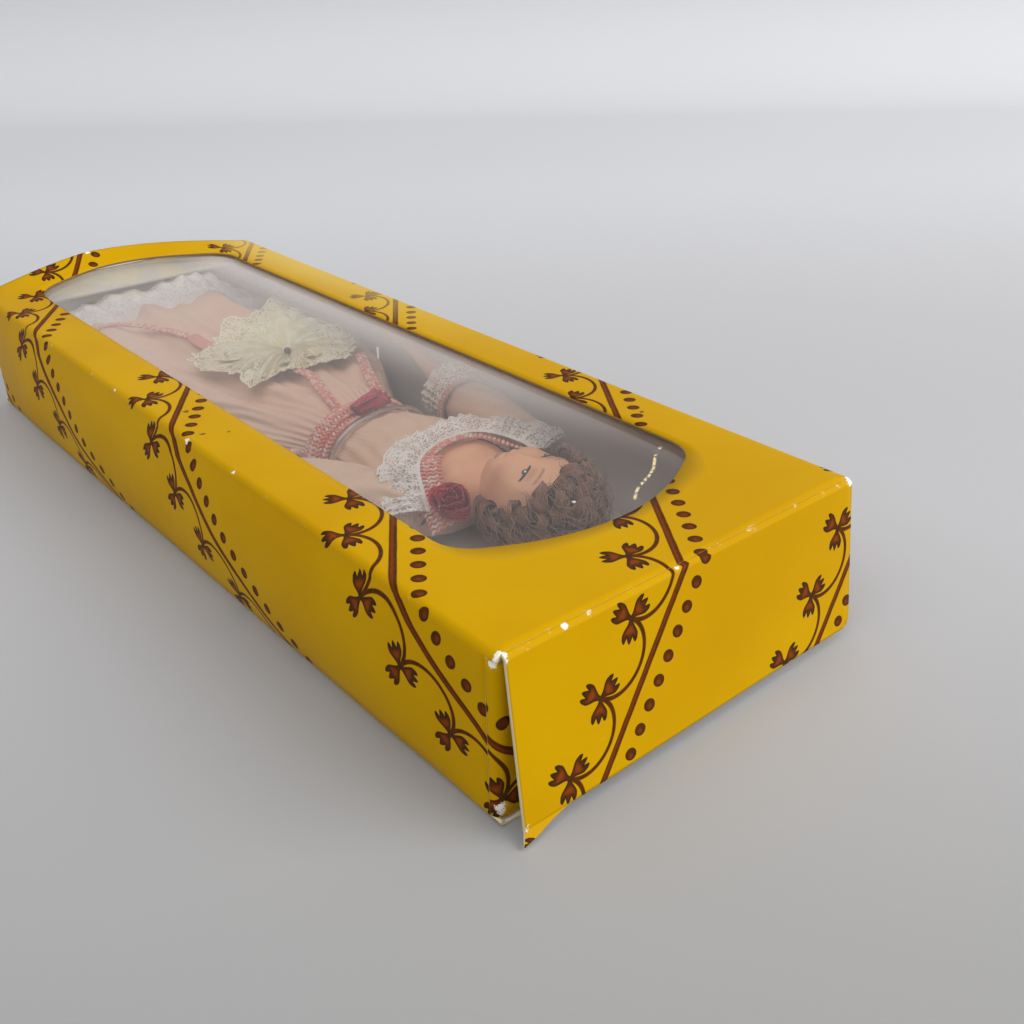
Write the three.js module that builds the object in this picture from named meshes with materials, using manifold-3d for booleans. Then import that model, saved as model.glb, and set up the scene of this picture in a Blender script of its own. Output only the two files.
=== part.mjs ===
// A miniature bisque doll lying on its back in its own window carton, wired to a backing card.
// Millimetres, +Z up out of the window, head end at -Y, the doll's right side at +X.
// The origin is the centre of the carton's bottom face.
import * as THREE from 'three';
import { mergeVertices } from 'three/addons/utils/BufferGeometryUtils.js';
import Module from 'manifold-3d';

const wasm = await Module();
wasm.setup();

// Driving dimensions

const clear = 0.3; // between pieces that touch

const carton = {
  length: 175,
  width: 65,
  height: 25,
  board: 0.5, // thickness of the folded board
  foldRadius: 1.2, // outside radius of the long folds
  bulge: 2.4, // how far a side wall bellies out at mid height
  bulgeFade: 27, // length at each end over which the belly dies away
};

const half = { length: carton.length / 2, width: carton.width / 2 };

const opening = {
  halfWidth: 22.5,
  headCorner: 21, // from the head end of the carton to the window's corners there
  headArc: 13.2, // from the same end to the middle of the window's curved edge
  footCorner: 8,
  footArc: 4.8,
  cornerRadius: 4,
};

// The foot end's free strip has bowed upwards over the tongue tucked under it.
const bow = { height: 4.9, peakX: -8, reach: 17.5 };

const film = { thickness: 0.25, overlap: 4.5, headMargin: 8, footMargin: 3 };

const endFlap = { halfWidth: 31.6, headLength: 23, footLength: 24.8, headTilt: 7, pivotInset: 0.4 };
const tongue = { thickness: 0.45, headDepth: 11.6, headHalfWidth: 26.5, headDroop: 2.4, footDepth: 8,
  footHalfWidth: 26, footDroop: 19 };
const ear = { width: 6.2, curlRadius: 1.45, tail: 1.1 }; // torn corner of the tuck, curled out to the table
const dust = { length: 19, foldRadius: 1.6, endGap: 0.2, rootLength: 3, rootMargin: 1, taper: 3.6 };

const cardRoom = { side: 2.5, head: 7.5, foot: 6 }; // between the card's edges and the carton's
const card = {
  halfWidth: half.width - cardRoom.side,
  headEnd: cardRoom.head - half.length,
  footEnd: half.length - cardRoom.foot,
  top: 2.4,
  thickness: 0.5,
  flange: 1.6,
  hole: 1.1,
};

const lean = 8; // degrees that the spine leans towards the doll's right
const headTurn = 11; // further degrees that the head leans
const waist = { x: 3.5, y: -4 };
const armSwing = 6; // degrees that an arm swings in over the skirt

const wire = { radius: 0.36, station: -5.6, gap: 0.35 };

// Sections of the body along the spine: distance from the waist towards the feet, half width, and the
// heights of the front and the back above the table.
const torsoSections = [
  [9, 7.5, 12.6, 6.2],
  [6, 9.6, 13.8, 5.2],
  [2, 9.6, 14, 5.2],
  [-2, 7.9, 14, 5.8],
  [-8, 8.4, 15.6, 5.4],
  [-15, 9.4, 16.4, 5.2],
  [-20, 9.8, 15.9, 5.2],
  [-23.6, 9, 14.8, 5.8],
];
const plateSections = [
  [-24.2, 9.6, 15.9, 5.6],
  [-26.5, 9.7, 15.9, 5.8],
  [-28.6, 8.8, 15.6, 6.6],
  [-30.4, 5.6, 14.9, 7.8],
  [-31.6, 4.1, 14.6, 8.4],
];
const bodiceSections = [
  [-2.9, 10.4, 16.9, 3.2],
  [-7, 10.7, 17.5, 3],
  [-12, 11.4, 18.1, 2.9],
  [-18, 12.4, 18.3, 2.9],
  [-23, 13.2, 17.8, 3],
  [-27, 13, 17, 3.4],
  [-30, 10.6, 16, 4.6],
];
const skirt = {
  top: -1.9,
  waistHalfWidth: 10.6,
  endRoom: 15.5, // between the skirt's edge and the carton's foot end
  sideRoom: 3.5, // between the skirt's sides and the outside of the carton
  wall: 1.2,
  backWall: 0.9,
  folds: 13,
  foldDepth: 0.75,
  hang: 22,
};
const skirtLength = half.length - skirt.endRoom - skirt.top;
const skirtSpread = half.width - skirt.sideRoom - skirt.waistHalfWidth;
const skirtAt = (share) => skirt.top + share * skirtLength;

// Sections of the skirt down the middle of the carton: share of its length from the waist, middle x,
// share of its spread beyond the waist, front, back.
const skirtSections = [
  [0, 3.6, 0, 17.1, 3.2],
  [0.058, 3.8, 0.158, 18, 2.9],
  [0.17, 3.9, 0.413, 18.8, 2.8],
  [0.308, 3.6, 0.685, 19.3, 2.8],
  [0.473, 3.2, 0.902, 19.4, 2.8],
  [0.695, 2.6, 0.967, 19.4, 2.8],
  [0.888, 2, 0.989, 19.8, 2.8],
  [1, 1.8, 1, 20, 2.8],
].map(([share, x, spread, front, back]) => [skirtAt(share), x, skirt.waistHalfWidth + spread * skirtSpread,
  front, back]);
const petticoat = {
  top: 14,
  hem: half.length - 4.9, // clear of the foot dust flaps
  wall: 0.9,
  ease: 0.25,
  folds: 17,
  foldDepth: 0.55,
  hemGrow: 1,
};
const ruffle = {
  thickness: 0.8,
  frontWidth: 3.2,
  shoulderWidth: 6.6,
  rise: 0.9,
  shoulderRise: 1.4,
  wave: 0.7,
};
// Ribbon roses: place on the doll, and length, width and height.
const roses = {
  shoulder: { at: [-12.9, -36, 15.6], size: [7, 6, 4.7] },
  waist: { at: [0.9, -2.9, 19.35], size: [4.2, 8.4, 3] },
};
const rosette = { x: 8.2, y: 35, rx: 15.6, ry: 20.5, petals: 10, frill: 0.5, thickness: 0.8, crown: 0.7 };
const bead = { radius: 0.7, t: 0.95, angle: -1.98 };
const swag = { radius: 0.6, steps: 24 };
// Where each swag of braid lies on the skirt: x, y from the waist down.
const swagPaths = {
  left: [[0.5, -2], [1.1, 2], [2, 6.5], [3, 11]],
  right: [[10.2, -1.2], [12.1, 3.4], [14.6, 9.4], [17.2, 15]],
};

const head = {
  x: 10.1,
  y: -45.6,
  z: 12.9,
  halfLength: 10.6,
  halfWidth: 7.9,
  front: 7.6,
  back: 8.6,
  neck: 3.7,
};
const hair = { halfLength: 12.2, halfWidth: 11, front: 9.2, back: 10.2, faceAngle: 50, curl: 0.055 };

const shoulder = { across: 15.5, along: -26, z: 12 };
const arm = {
  clothRadius: 2.4,
  clothLength: 20,
  forearmRadius: 2.25,
  wristRadius: 1.5,
  handWidth: 2.3,
  handDepth: 1.15,
  wallRoom: { right: 1.83, left: 6.06 }, // from the middle of the hand to the outside of the carton
};
const sleeve = {
  radius: 5.8,
  length: 24,
  cap: 5.2,
  cuffLength: 4.6,
  wrist: 4.9,
  cuffFlare: 5.8,
  lace: 0.8,
};
const hip = { across: 4.8, y: 10.6, z: 9.3, spread: 5 };
const leg = { clothLength: 30, clothRadius: 4.1, kneeRadius: 3.3, length: 62, ankleRadius: 1.9,
  footLength: 7.4, footWidth: 2.1 };

// Small shapes and vector helpers

const rad = THREE.MathUtils.degToRad;
const V = (x, y, z) => new THREE.Vector3(x, y, z);
const smooth = (t) => { const c = Math.min(1, Math.max(0, t)); return c * c * (3 - 2 * c); };

function plain(colour, roughness, metalness = 0) {
  return new THREE.MeshStandardMaterial({ color: colour, roughness, metalness });
}

// A closed solid from rings of points with the same count, each end closed by a fan round its middle.
function skin(rings) {
  const count = rings[0].length;
  const points = rings.flat();
  const faces = [];
  for (let i = 0; i + 1 < rings.length; i++) {
    for (let j = 0; j < count; j++) {
      const a = i * count + j, b = i * count + ((j + 1) % count);
      faces.push(a, b, b + count, a, b + count, a + count);
    }
  }
  [0, rings.length - 1].forEach((end, side) => {
    const middle = rings[end].reduce((sum, p) => sum.add(p), V(0, 0, 0)).divideScalar(count);
    points.push(middle);
    const centre = points.length - 1;
    for (let j = 0; j < count; j++) {
      const a = end * count + j, b = end * count + ((j + 1) % count);
      faces.push(...(side ? [a, b, centre] : [b, a, centre]));
    }
  });
  const geometry = new THREE.BufferGeometry().setFromPoints(points);
  geometry.setIndex(faces);
  return facingOut(geometry);
}

function facingOut(geometry) {
  const p = geometry.getAttribute('position'), index = geometry.index.array;
  const [a, b, c] = [V(), V(), V()];
  let volume = 0;
  for (let i = 0; i < index.length; i += 3) {
    a.fromBufferAttribute(p, index[i]);
    b.fromBufferAttribute(p, index[i + 1]);
    c.fromBufferAttribute(p, index[i + 2]);
    volume += a.dot(b.clone().cross(c));
  }
  if (volume < 0) {
    for (let i = 0; i < index.length; i += 3) [index[i], index[i + 1]] = [index[i + 1], index[i]];
  }
  return geometry;
}

// To a manifold solid and back, for cuts and joins.
function solid(geometry) {
  const bare = geometry.clone();
  bare.deleteAttribute('normal');
  bare.deleteAttribute('uv');
  const merged = mergeVertices(bare, 1e-4);
  return new wasm.Manifold(new wasm.Mesh({
    numProp: 3,
    vertProperties: new Float32Array(merged.getAttribute('position').array),
    triVerts: new Uint32Array(merged.index.array),
  }));
}

function surface(manifold) {
  const bodies = manifold.decompose().sort((p, q) => q.volume() - p.volume());
  const mesh = bodies[0].getMesh();
  const geometry = new THREE.BufferGeometry();
  geometry.setAttribute('position', new THREE.BufferAttribute(new Float32Array(mesh.vertProperties), 3));
  geometry.setIndex(Array.from(mesh.triVerts));
  return geometry;
}

const cut = (body, ...tools) =>
  surface(tools.reduce((rest, tool) => rest.subtract(solid(tool)), solid(body)));
const join = (...pieces) => surface(pieces.map(solid).reduce((all, piece) => all.add(piece)));

function extrude(shape, depth, segments = 6) {
  return new THREE.ExtrudeGeometry(shape, { depth, bevelEnabled: false, curveSegments: segments });
}

// A shape drawn in X and Z, standing up and given its thickness along Y about y = 0.
function upright(shape, thickness, segments) {
  return extrude(shape, thickness, segments).rotateX(Math.PI / 2).translate(0, thickness / 2, 0);
}

// A rectangle with rounded corners, each by its own radius: low left, low right, high right, high left.
function roundedRectangle(x0, y0, x1, y1, [a, b, c, d]) {
  const s = new THREE.Shape();
  s.moveTo(x0 + a, y0).lineTo(x1 - b, y0);
  if (b) s.absarc(x1 - b, y0 + b, b, -Math.PI / 2, 0);
  s.lineTo(x1, y1 - c);
  if (c) s.absarc(x1 - c, y1 - c, c, 0, Math.PI / 2);
  s.lineTo(x0 + d, y1);
  if (d) s.absarc(x0 + d, y1 - d, d, Math.PI / 2, Math.PI);
  s.lineTo(x0, y0 + a);
  if (a) s.absarc(x0 + a, y0 + a, a, Math.PI, 1.5 * Math.PI);
  return s;
}

// A straight-line table of sections read at any station.
function between(sections, station) {
  const rising = sections[0][0] < sections[sections.length - 1][0];
  const rows = rising ? sections : [...sections].reverse();
  const last = rows.length - 1;
  if (station <= rows[0][0]) return [station, ...rows[0].slice(1)];
  if (station >= rows[last][0]) return [station, ...rows[last].slice(1)];
  const i = rows.findIndex((row) => row[0] > station) - 1;
  const t = (station - rows[i][0]) / (rows[i + 1][0] - rows[i][0]);
  return rows[i].map((value, k) => value + t * (rows[i + 1][k] - value));
}

// One cross-section of a body that lies on its back: fuller in front, flattened behind.
function bodyRing(y, x, halfWidth, front, back, columns, options = {}) {
  const { grow = 0, backGrow = grow, tilt = 0, folds = 0, foldDepth = 0, phase = 0 } = options;
  const middle = (front + back) / 2 - 0.6;
  return Array.from({ length: columns }, (_, j) => {
    const angle = (2 * Math.PI * j) / columns;
    const fold = foldDepth * Math.cos(folds * angle + phase) - foldDepth;
    const c = Math.cos(angle), s = Math.sin(angle);
    const across = (halfWidth + grow + fold) * Math.sign(c) * Math.abs(c) ** 0.9;
    const height = s > 0 ? (front - middle + grow + fold) * s ** 0.85
      : -(middle - back + backGrow + fold * 0.3) * Math.abs(s) ** 0.6;
    return V(x + across * Math.cos(tilt), y + across * Math.sin(tilt), middle + height);
  });
}

// A body through a table of sections [y, halfWidth, front, back] on the spine's own line.
function bodyLoft(sections, columns, options = {}) {
  const { grow = 0, ends = grow } = options;
  const towards = Math.sign(sections[sections.length - 1][0] - sections[0][0]);
  return skin(sections.map(([y, w, f, b], i) => {
    const past = i === 0 ? -towards * ends : i === sections.length - 1 ? towards * ends : 0;
    return bodyRing(y + past, 0, w, f, b, columns, options);
  }));
}

// A round or oval limb along a curve: radii(t) gives [side, up] at t from 0 to 1.
function limb(curve, radii, steps, columns, grow = 0) {
  const rings = [];
  for (let i = 0; i <= steps; i++) {
    const t = i / steps, centre = curve.getPointAt(t), along = curve.getTangentAt(t);
    if (i === 0) centre.addScaledVector(along, -grow);
    if (i === steps) centre.addScaledVector(along, grow);
    const side = V(-along.y, along.x, 0).normalize(), up = side.clone().cross(along).negate();
    const [rs, ru] = radii(t);
    rings.push(Array.from({ length: columns }, (_, j) => {
      const angle = (2 * Math.PI * j) / columns;
      return centre.clone().addScaledVector(side, (rs + grow) * Math.cos(angle))
        .addScaledVector(up, (ru + grow) * Math.sin(angle));
    }));
  }
  return skin(rings);
}

// A round cord along hand-chosen points.
function cord(points, radius, steps, sides = 8) {
  return limb(new THREE.CatmullRomCurve3(points), () => [radius, radius], steps, sides);
}

// Radii that follow a table of [t, side, up].
const radiiOf = (table) => (t) => between(table, t).slice(1);

// Carton: the board ring, its film and its end closures

// How far the top panel rises over the tucked foot end.
function lift(x, y) {
  const along = Math.max(0, (y - (half.length - bow.reach)) / bow.reach);
  const left = Math.max(0, (x + half.width) / (bow.peakX + half.width));
  const right = Math.max(0, (half.width - x) / (half.width - bow.peakX));
  const t = x < bow.peakX ? 0.5 * (left + Math.sin((left * Math.PI) / 2)) : Math.sin((right * Math.PI) / 2);
  return bow.height * t * along * along;
}

function belly(y, z) {
  const reach = smooth((half.length - Math.abs(y)) / carton.bulgeFade);
  return carton.bulge * reach * (1 - ((2 * z) / carton.height - 1) ** 2);
}

function sleeveRing(y, inset) {
  const r = carton.foldRadius - inset, w = half.width - carton.foldRadius;
  const low = carton.foldRadius, high = carton.height - carton.foldRadius;
  const corner = (x, z, from) => Array.from({ length: 4 }, (_, i) => {
    const a = from + (i * Math.PI) / 6;
    return [x + r * Math.cos(a), z + r * Math.sin(a)];
  });
  const wallSteps = 5, topSteps = 12;
  const points = [...corner(w, low, -Math.PI / 2)];
  for (let i = 1; i < wallSteps; i++) {
    const z = low + (i / wallSteps) * (high - low);
    points.push([half.width - inset + belly(y, z), z]);
  }
  points.push(...corner(w, high, 0));
  for (let i = 1; i < topSteps; i++) points.push([w - (2 * w * i) / topSteps, carton.height - inset]);
  points.push(...corner(-w, high, Math.PI / 2));
  for (let i = 1; i < wallSteps; i++) {
    const z = high - (i / wallSteps) * (high - low);
    points.push([-half.width + inset - belly(y, z), z]);
  }
  points.push(...corner(-w, low, Math.PI));
  return points.map(([x, z]) => V(x, y, z > high ? z + lift(x, y) : z));
}

function windowShape() {
  const { halfWidth: w, cornerRadius: r } = opening;
  const head0 = -half.length + opening.headCorner, head1 = -half.length + opening.headArc;
  const foot0 = half.length - opening.footCorner, foot1 = half.length - opening.footArc;
  const s = new THREE.Shape();
  s.moveTo(-w, head0 + r).quadraticCurveTo(-w, head0, -w + r, head0 - r * 0.55);
  s.quadraticCurveTo(0, 2 * head1 - head0 + r * 0.55, w - r, head0 - r * 0.55);
  s.quadraticCurveTo(w, head0, w, head0 + r);
  s.lineTo(w, foot0 - r).quadraticCurveTo(w, foot0, w - r, foot0 + r * 0.3);
  s.quadraticCurveTo(0, 2 * foot1 - foot0 - r * 0.3, -w + r, foot0 + r * 0.3);
  s.quadraticCurveTo(-w, foot0, -w, foot0 - r);
  return s;
}

const foldLine = half.length - dust.endGap - dust.foldRadius; // where a side wall turns into its dust flap

function cartonSleeve() {
  const L = half.length, F = carton.bulgeFade, B = bow.reach;
  const rows = [-L, -L + 0.3 * F, -L + 0.6 * F, -L + F, L - F, L - B,
    L - 0.6 * B, L - 0.35 * B, L - 0.15 * B, L];
  const outer = skin(rows.map((y) => sleeveRing(y, 0)));
  const inner = skin(rows.map((y) => sleeveRing(y, carton.board)
    .map((p) => (Math.abs(y) === L ? p.setY(y * 1.01) : p))));
  const windowHole = extrude(windowShape(), carton.height, 8).translate(0, 0, carton.height / 2);
  const slots = [-1, 1].flatMap((side) => [-1, 1].map((end) => {
    const depth = L - foldLine + clear;
    const tall = carton.height - 2 * dust.rootMargin + clear;
    return new THREE.BoxGeometry(2 * carton.foldRadius + carton.bulge, 2 * depth, tall)
      .translate(side * (half.width + carton.bulge / 2), end * L, carton.height / 2);
  }));
  return cut(outer, inner, windowHole, ...slots);
}

function windowFilm() {
  const y0 = -half.length + film.headMargin, y1 = half.length - film.footMargin;
  const w = opening.halfWidth + film.overlap, columns = 12;
  const top = carton.height - carton.board - clear;
  const rows = [y0, ...[1, 0.6, 0.35].map((share) => half.length - share * bow.reach), y1];
  return skin(rows.map((y) => {
    const xs = Array.from({ length: columns + 1 }, (_, i) => -w + (2 * w * i) / columns);
    return [...xs.map((x) => V(x, y, top + lift(x, y))),
      ...xs.reverse().map((x) => V(x, y, top - film.thickness + lift(x, y)))];
  }));
}

// The head flap hangs from its crease; its torn corner curls out to the table.
function headEndFlap() {
  const { halfWidth: w, headLength: h } = endFlap;
  const panel = upright(roundedRectangle(-w, -h, w, -clear, [0.3, 1.5, 0.8, 0.8]), carton.board);
  const steps = 6, rings = [];
  for (let i = 0; i <= steps; i++) {
    const t = i / steps, bend = (Math.PI / 2) * 1.05 * t;
    const y = -ear.curlRadius * (1 - Math.cos(bend)) - ear.tail * t * t;
    const z = -h + 0.4 * (1 - t) - ear.curlRadius * Math.sin(bend) * t;
    const left = -w + 0.7 * t * t, right = -w + ear.width * (1 - 0.82 * t * t);
    const n = V(0, Math.cos(bend), -Math.sin(bend)).multiplyScalar(carton.board / 2);
    rings.push([V(left, y, z).add(n), V(right, y, z).add(n), V(right, y, z).sub(n), V(left, y, z).sub(n)]);
  }
  return join(panel, skin(rings));
}

function footEndFlap() {
  const { halfWidth: w, footLength: h } = endFlap;
  return upright(roundedRectangle(-w, clear, w, h, [0.8, 0.8, 1.5, 1.5]), carton.board);
}

// A tuck tongue lying in its own X and Y plane, pointing away from its crease.
function tuckTongue(halfWidth, depth) {
  return extrude(roundedRectangle(-halfWidth, clear, halfWidth, depth, [0, 0, 4, 4]), tongue.thickness, 4)
    .translate(0, 0, -tongue.thickness / 2);
}

// A dust flap about its own vertical crease: a rounded fold and a tapered panel that runs along +X.
function dustFlap() {
  const r = dust.foldRadius, t = carton.board, low = dust.rootMargin, high = carton.height - low;
  const fold = new THREE.Shape();
  fold.absarc(0, 0, r, Math.PI, 1.5 * Math.PI, false);
  fold.lineTo(0.6, -r).lineTo(0.6, -r + t).lineTo(0, -r + t);
  fold.absarc(0, 0, r - t, 1.5 * Math.PI, Math.PI, true);
  const root = extrude(fold, high - low, 5).translate(0, 0, low);
  const e = dust.rootLength, s = dust.taper;
  const outline = new THREE.Shape();
  outline.moveTo(0.3, low).lineTo(e, low).lineTo(e + 2, low + s * 0.75).lineTo(dust.length - 2, low + s);
  outline.lineTo(dust.length, low + s + 2).lineTo(dust.length, high - s - 2);
  outline.lineTo(dust.length - 2, high - s);
  outline.lineTo(e + 2, high - s * 0.75).lineTo(e, high).lineTo(0.3, high);
  return join(root, upright(outline, t).translate(0, -r + t / 2, 0));
}

// The inner card, its long edges folded down to hold it off the carton's floor, pierced for the wire.
function backingCard(holes) {
  const s = roundedRectangle(-card.halfWidth, card.headEnd, card.halfWidth, card.footEnd, [2, 2, 2, 2]);
  holes.forEach((p) => s.holes.push(new THREE.Path().absarc(p.x, p.y, card.hole, 0, 2 * Math.PI)));
  const sheet = extrude(s, card.thickness, 3).translate(0, 0, card.top - card.thickness);
  const margin = 4, length = card.footEnd - card.headEnd - 2 * margin;
  const flanges = [-1, 1].map((side) => new THREE.BoxGeometry(card.thickness, length, card.flange)
    .translate(side * (card.halfWidth - card.thickness / 2), (card.headEnd + card.footEnd) / 2,
      card.top - card.flange / 2));
  return join(sheet, ...flanges);
}

// Doll: bisque head and limbs, cloth body

function torso(grow = 0) {
  return bodyLoft(torsoSections, 16, { grow });
}

// Radius of the bisque head in a direction, with brow, sockets, nose, lips, chin and cheeks.
function faceRelief(x, y, front) {
  const bump = (cx, cy, sx, sy, h) => h * Math.exp(-(((x - cx) / sx) ** 2) - ((y - cy) / sy) ** 2);
  if (front <= 0) return 0;
  const relief = bump(0, 2, 1, 1.9, 1.25) + bump(0, 5.2, 1.7, 0.8, 0.45) + bump(0, 8.6, 2.4, 1.7, 0.7)
    + bump(-3.6, 3.4, 2.2, 2.2, 0.45) + bump(3.6, 3.4, 2.2, 2.2, 0.45)
    - bump(-3.1, -0.3, 1.5, 0.9, 0.5) - bump(3.1, -0.3, 1.5, 0.9, 0.5) + bump(0, -4, 5, 2.5, 0.25);
  return relief * smooth(front * 2);
}

function headBall(grow = 0) {
  const rows = 20, columns = 24, rings = [];
  for (let i = 1; i < rows; i++) {
    const polar = (Math.PI * i) / rows, ring = [];
    for (let j = 0; j < columns; j++) {
      const a = (2 * Math.PI * j) / columns;
      const dx = Math.sin(polar) * Math.sin(a), dy = -Math.cos(polar), dz = Math.sin(polar) * Math.cos(a);
      const jaw = 1 - 0.16 * smooth((dy - 0.1) / 0.9);
      const depth = dz > 0 ? head.front : head.back - 1.6 * smooth(dy * 1.4);
      const x = dx * head.halfWidth * jaw, y = dy * head.halfLength;
      const relief = faceRelief(x, y, dz);
      ring.push(V(x + dx * grow, y + dy * grow, dz * (depth + relief + grow)));
    }
    rings.push(ring);
  }
  return skin(rings).rotateZ(rad(headTurn)).translate(...headPlace.toArray());
}

const spin = (x, y, degrees) => V(x, y, 0).applyAxisAngle(V(0, 0, 1), rad(degrees));
const toSpine = (x, y) => spin(x - waist.x, y - waist.y, -lean);
const headPlace = toSpine(head.x, head.y).setZ(head.z);

function dollHead(grow = 0) {
  const jaw = spin(0, head.halfLength * 0.55, headTurn).add(headPlace).add(V(0, 0, -1.2));
  const base = V(0, plateSections[3][0] + 1, 10.6);
  const neck = limb(new THREE.LineCurve3(jaw, base), () => [head.neck, head.neck], 2, 16, grow);
  const plate = bodyLoft(plateSections, 24, { grow });
  return join(headBall(grow), neck, plate);
}

// Curls stand in rows all round, and the face is left bare.
function wig() {
  const rows = 18, columns = 30, rings = [];
  const face = V(0, 0.28, 1).normalize();
  for (let i = 1; i < rows; i++) {
    const polar = (Math.PI * i) / rows, ring = [];
    for (let j = 0; j < columns; j++) {
      const a = (2 * Math.PI * j) / columns;
      const d = V(Math.sin(polar) * Math.sin(a), -Math.cos(polar), Math.sin(polar) * Math.cos(a));
      const away = THREE.MathUtils.radToDeg(d.angleTo(face));
      const cover = 0.5 + 0.5 * smooth((away - hair.faceAngle + 9) / 14);
      const wave = Math.cos(7 * a + 1.2 * Math.sin(3 * polar)) * Math.cos(6 * polar);
      const curls = 1 + hair.curl * (wave - 1);
      const depth = d.z > 0 ? hair.front : hair.back;
      ring.push(V(d.x * hair.halfWidth, d.y * hair.halfLength * (d.y > 0 ? 0.84 : 1), d.z * depth)
        .multiplyScalar(cover * curls));
    }
    rings.push(ring);
  }
  const locks = skin(rings).rotateZ(rad(headTurn)).translate(...headPlace.toArray());
  const below = new THREE.BoxGeometry(60, 60, 10).translate(headPlace.x, headPlace.y, card.top + clear - 5);
  return cut(locks, dollHead(clear), below);
}

// From each shoulder to the fingertips: share of the reach out to the carton's wall, y, z.
const reachOf = (side) => {
  const out = side === 'right' ? 1 : -1;
  const joint = spin(out * shoulder.across, shoulder.along, lean).x + waist.x;
  return out * (half.width - arm.wallRoom[side]) - joint;
};
const armPaths = {
  right: [[0, 0, 0], [0.268, 12, 0.2], [0.537, 25, 0.8], [0.829, 38, 3.6], [0.976, 47, 5.8],
    [1, 55.5, 8]],
  left: [[0, 0, 0], [0.253, 12, -0.2], [0.516, 24, -0.4], [0.747, 35, -0.8], [0.901, 43, -1.4],
    [1, 51, -2.2]],
};

function armPieces(side) {
  const reach = reachOf(side);
  const curve = new THREE.CatmullRomCurve3(armPaths[side].map(([share, y, z]) => V(share * reach, y, z)));
  const length = curve.getLength();
  const part = (from, to) => {
    const share = (i) => (from + ((to - from) * i) / 6) / length;
    return new THREE.CatmullRomCurve3(Array.from({ length: 7 }, (_, i) => curve.getPointAt(share(i))));
  };
  const { clothRadius: rc, forearmRadius: rf, wristRadius: rw, handWidth: hw, handDepth: hd } = arm;
  const cloth = (grow) => limb(part(0, arm.clothLength - clear), () => [rc, rc], 4, 10, grow);
  const hand = radiiOf([[0, rf, rf], [0.35, rf * 0.95, rf * 0.95], [0.68, rw, rw * 0.9], [0.82, hw, hd],
    [0.92, hw * 0.85, hd * 0.8], [1, hw * 0.35, hd * 0.45]]);
  const bisque = (grow) => limb(part(arm.clothLength, length), hand, 12, 12, grow);
  const puff = radiiOf([[0, 2.2], [0.06, 4.2], [0.18, 5.4], [0.45, sleeve.radius], [0.75, 5.4], [0.93, 4.6],
    [1, sleeve.wrist]].map(([t, r]) => [t, r, r]));
  const cap = curve.getTangentAt(0).multiplyScalar(-sleeve.cap);
  const puffCurve = new THREE.CatmullRomCurve3([cap, ...part(0, sleeve.length).points]);
  const cover = (grow) => limb(puffCurve, puff, 11, 16, grow);
  const laceCurve = part(sleeve.length + clear, sleeve.length + sleeve.cuffLength);
  const { wrist, cuffFlare, lace } = sleeve;
  const flare = radiiOf([[0, wrist, wrist], [1, cuffFlare, cuffFlare]]);
  const throat = radiiOf([[0, wrist - 1.1, wrist - 1.1], [1, cuffFlare - lace, cuffFlare - lace]]);
  const cuff = cut(limb(laceCurve, flare, 3, 18),
    limb(part(sleeve.length - 1, sleeve.length + sleeve.cuffLength + 1), throat, 3, 14));
  return {
    upperArm: cloth(0),
    forearm: bisque(0),
    sleeve: cut(cover(0), cloth(clear), bisque(clear)),
    cuff,
    swept: cover(clear),
  };
}

// Every place that a sleeve takes as its arm swings, for cutting its armhole.
function sweptSleeves(pieces) {
  return ['right', 'left'].flatMap((side) => {
    const out = side === 'right' ? 1 : -1;
    return [0, 0.5, 1].map((t) => pieces[side].swept.clone().rotateZ(rad(-lean))
      .rotateZ(rad(out * armSwing * t)).translate(out * shoulder.across, shoulder.along, shoulder.z));
  });
}

function legPiece(from, to, table, steps) {
  const curve = new THREE.LineCurve3(V(0, from, 0), V(0, to, 0));
  return limb(curve, radiiOf(table), steps, 14);
}

function upperLeg() {
  const { clothRadius: rc, kneeRadius: rk } = leg;
  return legPiece(-rc, leg.clothLength - clear, [[0, 1.6, 1.6], [0.06, 3, 3], [0.14, rc, rc],
    [0.6, rc * 0.96, rc * 0.96], [1, rk, rk]], 8);
}

function lowerLeg() {
  const shin = legPiece(leg.clothLength, leg.length, [[0, leg.kneeRadius, leg.kneeRadius],
    [0.35, leg.kneeRadius * 0.98, leg.kneeRadius * 0.98], [1, leg.ankleRadius, leg.ankleRadius]], 8);
  const foot = limb(new THREE.CatmullRomCurve3([V(0, leg.length + 0.6, -2.6), V(0, leg.length + 1, 0.2),
    V(0, leg.length + 1.4, 2.8), V(0, leg.length + 1.2, leg.footLength - 3.2)]),
  radiiOf([[0, 1.2, 1.2], [0.2, 1.9, 1.9], [0.7, leg.footWidth, leg.footWidth * 0.8], [1, 0.9, 0.8]]), 8, 12);
  return join(shin, foot);
}

// Clothes

function neckline() {
  const s = new THREE.Shape();
  s.moveTo(-5.9, -25.2).quadraticCurveTo(0, -24.2, 5.9, -25.8).lineTo(11.2, -34).lineTo(11.2, -44);
  s.lineTo(-11.2, -44).lineTo(-11.2, -34);
  return s;
}

function bodice(sleeves) {
  const neckHole = extrude(neckline(), 20, 5).translate(0, 0, 10.5);
  const ease = clear + 0.1;
  return cut(bodyLoft(bodiceSections, 24, {}), torso(ease), dollHead(ease), neckHole, ...sleeves);
}

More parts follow.
